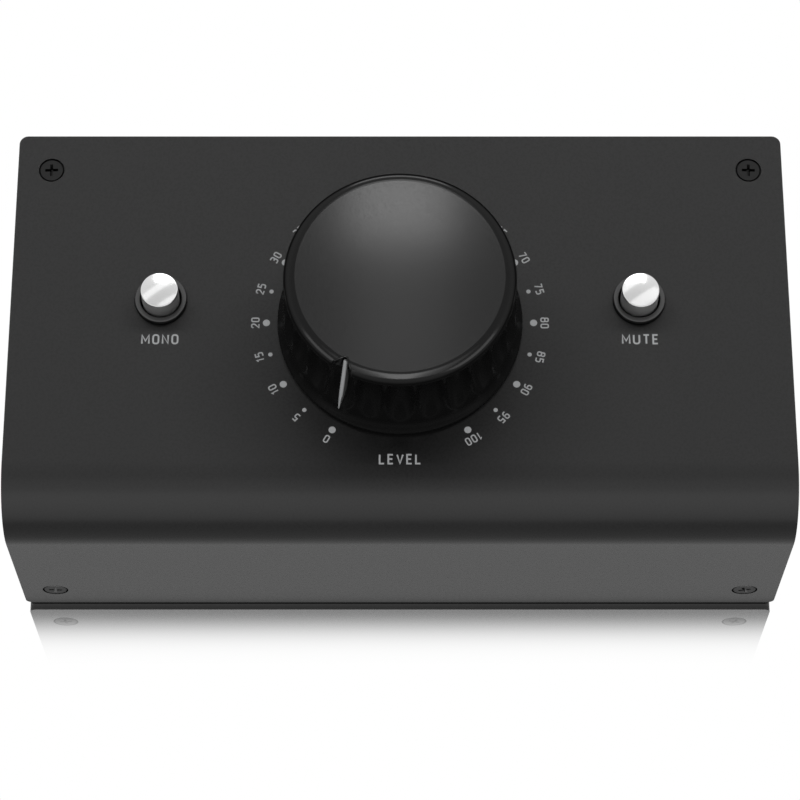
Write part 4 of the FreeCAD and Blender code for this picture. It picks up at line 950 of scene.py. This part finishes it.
# Letters and digits as the middle line of their strokes, in shares of the letter's height.
# Each has its width and its strokes; a stroke is (closed, corners) and each corner is
# (across, up, rounding).
GLYPHS = {
    "0": (0.60, [(True, [(0, 0, 0.2), (1, 0, 0.2), (1, 1, 0.2), (0, 1, 0.2)])]),
    "1": (0.42, [(False, [(0.0, 0.78, 0), (0.7, 1, 0), (0.7, 0, 0)])]),
    "2": (0.60, [(False, [(0, 0.82, 0), (0, 1, 0.2), (1, 1, 0.2), (1, 0.6, 0.2), (0, 0, 0),
                          (1, 0, 0)])]),
    "3": (0.60, [(False, [(0, 1, 0), (1, 1, 0.2), (1, 0.53, 0.15), (0.35, 0.53, 0)]),
                 (False, [(0.35, 0.53, 0), (1, 0.53, 0.15), (1, 0, 0.2), (0, 0, 0)])]),
    "4": (0.62, [(False, [(0.55, 1, 0), (0, 0.25, 0), (1, 0.25, 0)]),
                 (False, [(0.76, 0.6, 0), (0.76, 0, 0)])]),
    "5": (0.60, [(False, [(0.95, 1, 0), (0.05, 1, 0), (0.05, 0.56, 0), (1, 0.6, 0.2), (1, 0, 0.2),
                          (0, 0, 0)])]),
    "6": (0.60, [(False, [(0.85, 1, 0), (0, 1, 0.25), (0, 0, 0.2), (1, 0, 0.2), (1, 0.56, 0.2),
                          (0, 0.56, 0)])]),
    "7": (0.58, [(False, [(0, 1, 0), (1, 1, 0), (0.35, 0, 0)])]),
    "8": (0.62, [(True, [(0.04, 0.53, 0.15), (0.96, 0.53, 0.15), (0.96, 1, 0.18), (0.04, 1, 0.18)]),
                 (True, [(0, 0, 0.2), (1, 0, 0.2), (1, 0.53, 0.15), (0, 0.53, 0.15)])]),
    "9": (0.60, [(False, [(0.15, 0, 0), (1, 0, 0.25), (1, 1, 0.2), (0, 1, 0.2), (0, 0.44, 0.2),
                          (1, 0.44, 0)])]),
    "L": (0.55, [(False, [(0, 1, 0), (0, 0, 0), (1, 0, 0)])]),
    "E": (0.56, [(False, [(1, 1, 0), (0, 1, 0), (0, 0, 0), (1, 0, 0)]),
                 (False, [(0, 0.51, 0), (0.88, 0.51, 0)])]),
    "V": (0.66, [(False, [(0, 1, 0), (0.5, 0, 0), (1, 1, 0)])]),
    "M": (0.78, [(False, [(0, 0, 0), (0, 1, 0), (0.5, 0.3, 0), (1, 1, 0), (1, 0, 0)])]),
    "O": (0.64, [(True, [(0, 0, 0.24), (1, 0, 0.24), (1, 1, 0.24), (0, 1, 0.24)])]),
    "N": (0.64, [(False, [(0, 0, 0), (0, 1, 0), (1, 0, 0), (1, 1, 0)])]),
    "U": (0.66, [(False, [(0, 1, 0), (0, 0, 0.24), (1, 0, 0.24), (1, 1, 0)])]),
    "T": (0.65, [(False, [(0, 1, 0), (1, 1, 0)]), (False, [(0.5, 1, 0), (0.5, 0, 0)])]),
    "I": (0.16, [(False, [(0.5, 1, 0), (0.5, 0, 0)])]),
    "P": (0.66, [(False, [(0, 0, 0), (0, 1, 0), (1, 1, 0.22), (1, 0.45, 0.22), (0, 0.45, 0)])]),
    "R": (0.68, [(False, [(0, 0, 0), (0, 1, 0), (0.96, 1, 0.22), (0.96, 0.45, 0.22),
                          (0, 0.45, 0)]),
                 (False, [(0.5, 0.45, 0), (1, 0, 0)])]),
    "A": (0.76, [(False, [(0, 0, 0), (0.5, 1, 0), (1, 0, 0)]),
                 (False, [(0.17, 0.3, 0), (0.83, 0.3, 0)])]),
    "X": (0.74, [(False, [(0, 0, 0), (1, 1, 0)]), (False, [(0, 1, 0), (1, 0, 0)])]),
}
WEIGHT = 0.155
GAPS = {"digits": 0.17, "letters": 0.22}
INK = 0.02 * MM
INK_LIFT = 0.002 * MM  # keeps the ink's underside off the coat
BIG_DOT, SMALL_DOT = 1.35, 0.82  # diameters in millimetres
ZERO_BEARING, DEGREES_A_MARK = 150, 3  # degrees from +Y to the scale's zero, and per unit
REAR_WORD, REAR_ROW = 2.1 * MM, 7.2 * MM  # the words' height, and how far under the top


def rounded(corners, closed):
    """The corners with each rounding drawn as an arc of short lines."""
    count = len(corners)
    points = []
    for place, (x, y, radius) in enumerate(corners):
        here = Vector((x, y))
        if radius <= 0 or (not closed and place in (0, count - 1)):
            points.append(here)
            continue
        before = (Vector(corners[place - 1][:2]) - here).normalized()
        after = (Vector(corners[(place + 1) % count][:2]) - here).normalized()
        half = before.angle(after) / 2
        reach = radius / math.tan(half)
        start, end = here + before * reach, here + after * reach
        for step in range(7):
            share = step / 6
            bow = 2 * share * (1 - share) * here
            points.append((1 - share) ** 2 * start + bow + share**2 * end)
    return points


def ribbon(bm, points, closed, wide, thick, place):
    """A flat stroke of even width along the points, as a thin closed solid.

    Strokes of one letter cross, so each has a thickness of its own and no tops share a plane.
    """
    count = len(points)
    rings = []
    for index, here in enumerate(points):
        before = points[index - 1] if closed or index else None
        after = points[(index + 1) % count] if closed or index < count - 1 else None
        inward = (here - before).normalized() if before is not None else (after - here).normalized()
        outward = (after - here).normalized() if after is not None else inward
        across = Vector((-(inward + outward).y, (inward + outward).x)).normalized()
        square = Vector((-outward.y, outward.x))
        mitre = min(1 / max(across.dot(square), 0.35), 1.4)
        left, right = here + across * wide / 2 * mitre, here - across * wide / 2 * mitre
        ring = [(left, 0), (right, 0), (right, thick), (left, thick)]
        rings.append([bm.verts.new(place @ Vector((p.x, p.y, z))) for p, z in ring])
    skin(bm, rings + rings[:1] if closed else rings, 4, ends=not closed)


def write(bm, text, height, place):
    """Writes centred text on the plane that place gives: its +Z is out of the surface."""
    widths = [GLYPHS[letter][0] * height for letter in text]
    gap = GAPS["digits" if text.isdigit() else "letters"] * height
    total = sum(widths) + gap * (len(text) - 1)
    left = -total / 2
    weight = WEIGHT * height
    low = -height / 2 + weight / 2
    for letter, width in zip(text, widths):
        inner_wide, inner_high = width - weight, height - weight
        for layer, (closed, corners) in enumerate(GLYPHS[letter][1]):
            full = [
                (left + weight / 2 + x * inner_wide, low + y * inner_high, r * height)
                for x, y, r in corners
            ]
            ribbon(bm, rounded(full, closed), closed, weight, INK * (1 + 0.15 * layer), place)
        left += width + gap


class CONTROLLER_OT_print(bpy.types.Operator):
    """Prints the dial, the words on the panel and the words at the sockets"""

    bl_idname = "controller.print"
    bl_label = "Print"

    def execute(self, context):
        """Builds all the ink as two pieces."""
        sizes = context.scene.controller_sizes
        ink = material_ink(context.scene.controller_colours.ink)
        bm = bmesh.new()
        lift = Matrix.Translation((0, 0, TOP + INK_LIFT))
        dial = Matrix.Translation((KNOB_AXIS.x, KNOB_AXIS.y, 0)) @ lift
        for value in range(0, 101, 5):
            bearing = math.radians(ZERO_BEARING - DEGREES_A_MARK * value)
            turn = Matrix.Rotation(bearing, 4, "Z")
            dot = (BIG_DOT if value % 10 == 0 else SMALL_DOT) * MM / 2
            disc = [(0, 0), (dot, 0), (dot, INK), (0, INK)]
            where = dial @ turn @ Matrix.Translation((0, sizes.dial_radius, 0))
            lathe(bm, disc, 28, where.to_translation(), where.to_3x3())
            where = dial @ turn @ Matrix.Translation((0, sizes.number_radius, 0))
            write(bm, str(value), sizes.number_height, where)
        # each word's place beside and behind the knob's axis, in millimetres
        words = (("LEVEL", 0, -27.8), ("MONO", -45.4, -3.4), ("MUTE", 45.4, -3.4))
        for word, across, back in words:
            where = dial @ Matrix.Translation((across * MM, back * MM, 0))
            write(bm, word, sizes.word_height, where)
        new_piece("panel_print", mesh_from(bm, "panel_print"), ink, "enclosure")

        bm = bmesh.new()
        outward = Matrix(((-1, 0, 0), (0, 0, 1), (0, 1, 0))).to_4x4()
        row = TOP - REAR_ROW
        marks = [(name[0].upper(), middle(f"{name}_shell").x, row) for name in SOCKETS]
        for word in ("INPUT", "OUTPUT"):
            pair = [middle(f"{side}_{word.lower()}_shell").x for side in ("left", "right")]
            marks.append((word, sum(pair) / 2, row))
        marks.append(("AUX", 0, middle("aux_jack_nut").z + 8.5 * MM))
        for word, across, up in marks:
            spot = Vector((across, PANEL_OUT + INK_LIFT, up))
            write(bm, word, REAR_WORD, Matrix.Translation(spot) @ outward)
        new_piece("rear_print", mesh_from(bm, "rear_print"), ink, "enclosure")
        return {"FINISHED"}


# ---------------------------------------------------------------- rear and insides


class CONTROLLER_OT_finishes(bpy.types.Operator):
    """Gives each CAD part that stays its own finish"""

    bl_idname = "controller.finishes"
    bl_label = "Finishes"

    def execute(self, context):
        """Dresses the tray, rear panel, mat, sockets, boards and the inner parts."""
        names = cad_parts
        coat = bpy.data.materials["powder_coated_steel"]
        dress(["chassis_tray", "rear_panel"], coat)
        # moulded rubber: matt, dark, with a fine pebble grain
        rubber = material_moulded(
            "moulded_rubber", linear("#060606"), 0.6, 0.35 * MM, 0.006 * MM, 1.07
        )
        dress(["base_mat"], rubber)
        # zinc die casting with black plating: satin and slightly uneven
        casting = material_metal(
            "black_plated_zinc_casting", linear("#303032"), 0.38, 0.6 * MM, 0.003 * MM
        )
        dress([n for n in names if n.endswith("_shell")], casting)
        # glass-filled nylon, moulded: matt black
        nylon = material_moulded("moulded_black_nylon", linear("#1a1a1b"), 0.55)
        black = [n for n in names if n.endswith(("put_insert", "_switch_case"))]
        dress(black + ["aux_jack_case", "ribbon_plugs", "ribbon_headers"], nylon)
        # acetal, moulded: milky white
        acetal = material_moulded("moulded_white_acetal", linear("#dedcd6"), 0.4)
        dress(["potentiometer_rotor", "mono_plunger", "mute_plunger"], acetal)
        # gold-plated brass contacts: warm and bright
        gold = material_metal("gold_plated_brass", linear("#d9b464"), 0.22)
        dress([n for n in names if n.endswith(("_contacts", "put_pins"))], gold)
        # nickel-plated brass, turned: bright, faintly warm
        nickel = material_metal("nickel_plated_brass", linear("#c9c6bd"), 0.24)
        dress([f"potentiometer_{part}" for part in ("bushing", "washer", "nut")], nickel)
        dress(["aux_jack_nut"], nickel)
        # zinc-plated steel, pressed: cool grey with a satin sheen
        zinc = material_metal("zinc_plated_steel", linear("#b9bdc2"), 0.35)
        dress(["potentiometer_case", "board_screws"], zinc)
        # tinned copper, drawn into pins: a soft grey shine
        tin = material_metal("tinned_copper", linear("#c4c5c7"), 0.3)
        pins = ["potentiometer_pins", "mono_switch_pins", "mute_switch_pins", "aux_jack_leads"]
        dress(pins, tin)
        # brass straight from the lathe: warm, bright, with fine rings round the axis
        lathe_marks = (0.3, 0.2 * MM, 0.002 * MM, (1, 1, 8))
        brass = material_metal("turned_brass", linear("#c8a765"), *lathe_marks)
        dress(["board_standoffs", "knob_insert"], brass)
        # aluminium straight from the lathe: pale grey and bright, with the same fine rings
        aluminium = material_metal("turned_aluminium", linear("#c6c8ca"), *lathe_marks)
        dress(["potentiometer_shaft"], aluminium)
        dress(["control_board", "connector_board"], material_laminate(linear("#1d6b3c")))
        # ceramic bodies, dipped in glaze: dark, with a clear gloss
        glaze = material_moulded("glazed_ceramic", linear("#1f2328"), 0.2)
        dress(["summing_resistors"], glaze)
        # vinyl extruded round the wires of a ribbon cable: pale grey and dull
        vinyl = material_moulded("ribbed_grey_vinyl", linear("#b3b5b8"), 0.5)
        dress(["ribbon_cable"], vinyl)
        for name, width in (("base_mat", 0.25), ("aux_jack_nut", 0.3)):
            soften(names[name], width * MM)
        for name in names:
            if name.endswith("_shell"):
                soften(names[name], 0.35 * MM, 3)
            if name.endswith("put_pins"):
                soften(names[name], 0.4 * MM, 4)
            if name.endswith("put_insert"):
                soften(names[name], 0.2 * MM)
        return {"FINISHED"}


class CONTROLLER_OT_springs(bpy.types.Operator):
    """Winds the return springs under the buttons"""

    bl_idname = "controller.springs"
    bl_label = "Return springs"

    def execute(self, context):
        """Builds a coil for each button."""
        # hard-drawn steel wire, zinc plated: cool grey, bright along each turn
        finish = material_metal("zinc_plated_wire", linear("#b9bdc2"), 0.3)
        wire, pitch, travel = 0.2 * MM, 0.95 * MM, 2.5 * MM
        for name in ("mono", "mute"):
            low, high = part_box(f"{name}_spring")
            centre = middle(f"{name}_spring")
            reach = (high.x - low.x) / 2 - wire
            tall = high.z - low.z - 2 * wire
            steps = round(tall / pitch * 36)
            sections = []
            for step in range(steps + 1):
                rise = tall * step / steps
                angle = 2 * math.pi * rise / pitch
                outward = Vector((math.cos(angle), math.sin(angle), 0))
                along = Vector((-outward.y * reach, outward.x * reach, pitch / (2 * math.pi)))
                spot = Vector((centre.x, centre.y, low.z + wire + rise)) + outward * reach
                sections.append((spot, outward, outward.cross(along.normalized())))
            bm = bmesh.new()
            tube(bm, sections, wire)
            coil, node = f"{name}_return_spring", f"{name}_spring"
            mesh = mesh_from(bm, coil, 60)
            piece = new_piece(coil, mesh, finish, "enclosure", [node])
            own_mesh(piece)
        return {"FINISHED"}


# ---------------------------------------------------------------- stage


class CONTROLLER_OT_stage(bpy.types.Operator):
    """Sets the pale floor, the soft light and the camera"""

    bl_idname = "controller.stage"
    bl_label = "Stage"

    def execute(self, context):
        """Builds the stage round the object."""
        scene = context.scene
        scene.view_settings.view_transform = "Standard"
        self.camera(scene)
        self.sky(scene)
        self.floor(scene)
        self.floor_as_seen_by_gloss(scene)
        self.lamps(scene)
        return {"FINISHED"}

    def camera(self, scene):
        """A long lens, high in front."""
        data = bpy.data.cameras.new("camera")
        data.sensor_width = 36.0
        data.lens = 131.9
        data.clip_start = 0.01
        data.clip_end = 20
        camera = bpy.data.objects.new("camera", data)
        camera.location = (0, -229.8 * MM, 553.1 * MM)
        camera.rotation_euler = (math.radians(22.95), 0, 0)
        scene.collection.objects.link(camera)
        scene.camera = camera

    def sky(self, scene):
        """An even white room, whose lower walls are dimmer in what the object mirrors."""
        world = bpy.data.worlds.new("soft_room")
        scene.world = world
        world.use_nodes = True
        tree = world.node_tree
        tree.nodes.clear()
        place = add_node(tree, "ShaderNodeTexCoord").outputs["Generated"]
        height = add_node(tree, "ShaderNodeSeparateXYZ", {"Vector": place}).outputs["Z"]
        ramp = add_node(tree, "ShaderNodeValToRGB", {"Fac": height})
        stops = (
            (0.0, 0.3), (0.05, 0.5), (0.2, 0.88), (0.36, 1.13),
            (0.52, 1.4), (0.65, 1.42), (0.8, 1.2), (1.0, 0.92),
        )
        full = 1.5  # a ramp's greys stop at 1, so they are shares of this
        set_stops(ramp, stops, full)
        room = add_node(tree, "ShaderNodeBackground", {"Color": ramp.outputs[0], "Strength": full})
        plain = add_node(tree, "ShaderNodeBackground", {"Color": (1, 1, 1, 1), "Strength": 1.0})
        seen = add_node(tree, "ShaderNodeLightPath").outputs["Is Camera Ray"]
        mix = add_node(
            tree, "ShaderNodeMixShader", {0: seen, 1: room.outputs[0], 2: plain.outputs[0]}
        )
        add_node(tree, "ShaderNodeOutputWorld", {"Surface": mix.outputs[0]})

    def sheet(self, scene, name, half, height):
        """A flat square stage piece."""
        bm = bmesh.new()
        ring = []
        reach = half / math.cos(math.pi / 4)
        for corner in range(4):
            angle = 2 * math.pi * (corner + 0.5) / 4
            ring.append(bm.verts.new((reach * math.cos(angle), reach * math.sin(angle), height)))
        bm.faces.new(ring)
        mesh = bpy.data.meshes.new(name)
        bm.to_mesh(mesh)
        bm.free()
        piece = bpy.data.objects.new(name, mesh)
        scene.collection.objects.link(piece)
        return piece

    def floor(self, scene):
        """Glossy white floor: the object's image fades with the distance from its foot."""
        floor = self.sheet(scene, "floor", 3.0, 0.0)
        floor.visible_glossy = False
        material = bpy.data.materials.new("polished_white_floor")
        material.use_nodes = True
        tree = material.node_tree
        tree.nodes.clear()
        place = add_node(tree, "ShaderNodeTexCoord").outputs["Object"]
        apart = add_node(tree, "ShaderNodeSeparateXYZ", {"Vector": place})
        # the image is full this far from the mat, fades with this length and is this strong
        full, fade, strongest = 1.25 * MM, 4.87 * MM, 0.972
        beyond = []
        for axis, low, high in (("X", MAT_LOW.x, MAT_HIGH.x), ("Y", MAT_LOW.y, MAT_HIGH.y)):
            place = {0: apart.outputs[axis], 1: (low + high) / 2}
            centred = add_node(tree, "ShaderNodeMath", place, operation="SUBTRACT")
            size = add_node(tree, "ShaderNodeMath", {0: centred.outputs[0]}, operation="ABSOLUTE")
            edge = {0: size.outputs[0], 1: (high - low) / 2 + full}
            outside = add_node(tree, "ShaderNodeMath", edge, operation="SUBTRACT")
            least = {0: outside.outputs[0], 1: 0.0}
            clear = add_node(tree, "ShaderNodeMath", least, operation="MAXIMUM")
            both = {0: clear.outputs[0], 1: clear.outputs[0]}
            square = add_node(tree, "ShaderNodeMath", both, operation="MULTIPLY")
            beyond.append(square.outputs[0])
        total = add_node(tree, "ShaderNodeMath", {0: beyond[0], 1: beyond[1]}, operation="ADD")
        slope = {0: total.outputs[0], 1: -1 / fade**2}
        fall = add_node(tree, "ShaderNodeMath", slope, operation="MULTIPLY")
        power = add_node(tree, "ShaderNodeMath", {0: math.e, 1: fall.outputs[0]}, operation="POWER")
        strength = {0: power.outputs[0], 1: strongest}
        share = add_node(tree, "ShaderNodeMath", strength, operation="MULTIPLY")
        white = add_node(tree, "ShaderNodeEmission", {"Color": (1, 1, 1, 1), "Strength": 1.0})
        mirror = add_node(tree, "ShaderNodeBsdfGlossy", {"Color": (1, 1, 1, 1), "Roughness": 0.02})
        shaders = {0: share.outputs[0], 1: white.outputs[0], 2: mirror.outputs[0]}
        mix = add_node(tree, "ShaderNodeMixShader", shaders)
        add_node(tree, "ShaderNodeOutputMaterial", {"Surface": mix.outputs[0]})
        floor.data.materials.append(material)

    def floor_as_seen_by_gloss(self, scene):
        """The same floor as gloss mirrors it: a glowing card with a painted shadow at the object's
        foot, brighter further out.
        """
        card = self.sheet(scene, "floor_in_gloss", 3.0, -0.5 * MM)
        card.visible_camera = False
        card.visible_diffuse = False
        card.visible_shadow = False
        material = bpy.data.materials.new("floor_in_gloss")
        material.use_nodes = True
        tree = material.node_tree
        tree.nodes.clear()
        place = add_node(tree, "ShaderNodeTexCoord").outputs["Object"]
        apart = add_node(tree, "ShaderNodeSeparateXYZ", {"Vector": place})
        forward = add_node(
            tree, "ShaderNodeMath", {0: apart.outputs["Y"], 1: COVER_LOW.y}, operation="SUBTRACT"
        )
        # the ramp runs from the cover's front to this far before it
        reach = 0.2
        ahead = add_node(
            tree, "ShaderNodeMath", {0: forward.outputs[0], 1: -1 / reach}, operation="MULTIPLY"
        )
        ramp = add_node(tree, "ShaderNodeValToRGB", {"Fac": ahead.outputs[0]})
        # the first stops are dim: painted shadow where the floor meets the object's foot
        stops = (
            (0.0, 0.14), (0.0045, 0.2), (0.008, 0.47), (0.06, 0.5), (0.105, 0.63),
            (0.16, 0.58), (0.23, 0.54), (0.35, 0.74), (0.56, 0.72), (1.0, 0.75),
        )
        set_stops(ramp, stops)
        glow = add_node(tree, "ShaderNodeEmission", {"Color": ramp.outputs[0], "Strength": 3.0})
        add_node(tree, "ShaderNodeOutputMaterial", {"Surface": glow.outputs[0]})
        card.data.materials.append(material)
        # the knob stands back from the edge, where the cover hides the floor from it
        self.catch(card, ("knob",), "EXCLUDE")

    def coated(self):
        """The powder-coated parts."""
        return "cover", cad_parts["rear_panel"].name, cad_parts["chassis_tray"].name

    def catch(self, light, pieces, state="INCLUDE"):
        """Lets a light reach only some pieces, or all but them."""
        group = bpy.data.collections.new(f"{light.name}_catchers")
        for piece in pieces:
            group.objects.link(bpy.data.objects[piece])
        for entry in group.collection_objects:
            entry.light_linking.link_state = state
        light.light_linking.receiver_collection = group

    def lamps(self, scene):
        """Banks that light the coated parts, and soft boxes that only the knob or caps catch."""
        knob = ("knob",)
        caps = ("mono_button_cap", "mute_button_cap")
        coated = self.coated()
        fronts = (*coated, "screws_front")
        # name, bearing from +X, rise and roll in degrees, half width and half height, light,
        # receivers; a bank for shade is left out of the gloss, and a bank for gloss is left out
        # of the shade
        for name, bearing, rise, roll, wide, high, light, lit in (
            ("bank_behind_shade", 90, 57.6, 0, 1.0, 0.075, 104.0, coated),
            ("bank_front_gloss", 270, 28, 0, 1.5, 0.53, 5.2, fronts),
            ("bank_high_gloss", 270, 66, 0, 1.5, 0.2, 2.0, coated),
            ("soft_box_behind", 90, 55.2, 0, 0.095, 0.09, 8.9, knob),
            ("soft_box_over", 90, 63, 0, 0.09, 0.25, 1.35, knob),
            ("soft_box_above", 270, 76, 0, 0.11, 0.34, 15.0, knob),
            ("soft_box_above_wide", 270, 76, 0, 0.22, 0.34, 5.0, knob),
            ("soft_box_above_wider", 270, 76, 0, 0.38, 0.34, 2.8, knob),
            ("strip_front_right", -28, 42, 0, 0.3, 0.19, 5.0, knob),
            ("strip_front_left", 208, 42, 0, 0.3, 0.19, 5.0, knob),
            ("strip_behind", 90, 17, 0, 0.25, 0.12, 6.5, knob),
            ("window_on_caps", 90, 52, 0, 0.17, 0.09, 5.0, caps),
            ("band_on_caps_left", 113, 63.7, 16, 0.25, 0.055, 0.55, caps),
            ("band_on_caps_right", 61.5, 73, 65, 0.3, 0.09, 0.55, caps),
        ):
            self.lamp(scene, name, (bearing, rise, roll), (wide, high), light, lit)

    def lamp(self, scene, name, place, size, light, lit):
        """A rectangular soft box, 2 m away; its size is in shares of that distance."""
        far = 2.0
        data = bpy.data.lights.new(name, "AREA")
        data.shape = "RECTANGLE"
        data.size = 2 * far * size[0]
        data.size_y = 2 * far * size[1]
        data.energy = light * math.pi * data.size * data.size_y
        lamp = bpy.data.objects.new(name, data)
        bearing, rise, roll = (math.radians(part) for part in place)
        toward = Vector(
            (math.cos(bearing) * math.cos(rise), math.sin(bearing) * math.cos(rise), math.sin(rise))
        )
        lamp.location = KNOB_AXIS + toward * far
        rolled = facing(toward) @ Matrix.Rotation(roll, 3, "Z")
        lamp.rotation_euler = rolled.to_euler()
        scene.collection.objects.link(lamp)
        lamp.visible_camera = False
        lamp.visible_glossy = not name.endswith("shade")
        lamp.visible_diffuse = not name.endswith("gloss")
        self.catch(lamp, lit)


# ---------------------------------------------------------------- panel and registration


OPERATORS = (
    CONTROLLER_OT_cover,
    CONTROLLER_OT_screws,
    CONTROLLER_OT_knob,
    CONTROLLER_OT_buttons,
    CONTROLLER_OT_print,
    CONTROLLER_OT_finishes,
    CONTROLLER_OT_springs,
    CONTROLLER_OT_stage,
)


class CONTROLLER_PT_panel(bpy.types.Panel):
    """Lists the settings and the steps in the sidebar"""

    bl_idname = "CONTROLLER_PT_panel"
    bl_label = "Desktop Monitor Controller"
    bl_space_type = "VIEW_3D"
    bl_region_type = "UI"
    bl_category = "Controller"

    def draw(self, context):
        """Draws the panel."""
        for group in (context.scene.controller_sizes, context.scene.controller_colours):
            column = self.layout.column(align=True)
            for name in group.bl_rna.properties.keys():
                if name not in ("rna_type", "name"):
                    column.prop(group, name)
        for operator in OPERATORS:
            self.layout.operator(operator.bl_idname)


CLASSES = (ControllerSizes, ControllerColours, *OPERATORS, CONTROLLER_PT_panel)


def register():
    """Makes the classes known to Blender."""
    for known in CLASSES:
        bpy.utils.register_class(known)
    bpy.types.Scene.controller_sizes = bpy.props.PointerProperty(type=ControllerSizes)
    bpy.types.Scene.controller_colours = bpy.props.PointerProperty(type=ControllerColours)


def unregister():
    """Takes the classes out again."""
    del bpy.types.Scene.controller_colours
    del bpy.types.Scene.controller_sizes
    for known in reversed(CLASSES):
        bpy.utils.unregister_class(known)


def main():
    """Builds everything in order."""
    register()
    for operator in OPERATORS:
        family, name = operator.bl_idname.split(".")
        getattr(getattr(bpy.ops, family), name)()


if __name__ == "__main__":
    main()
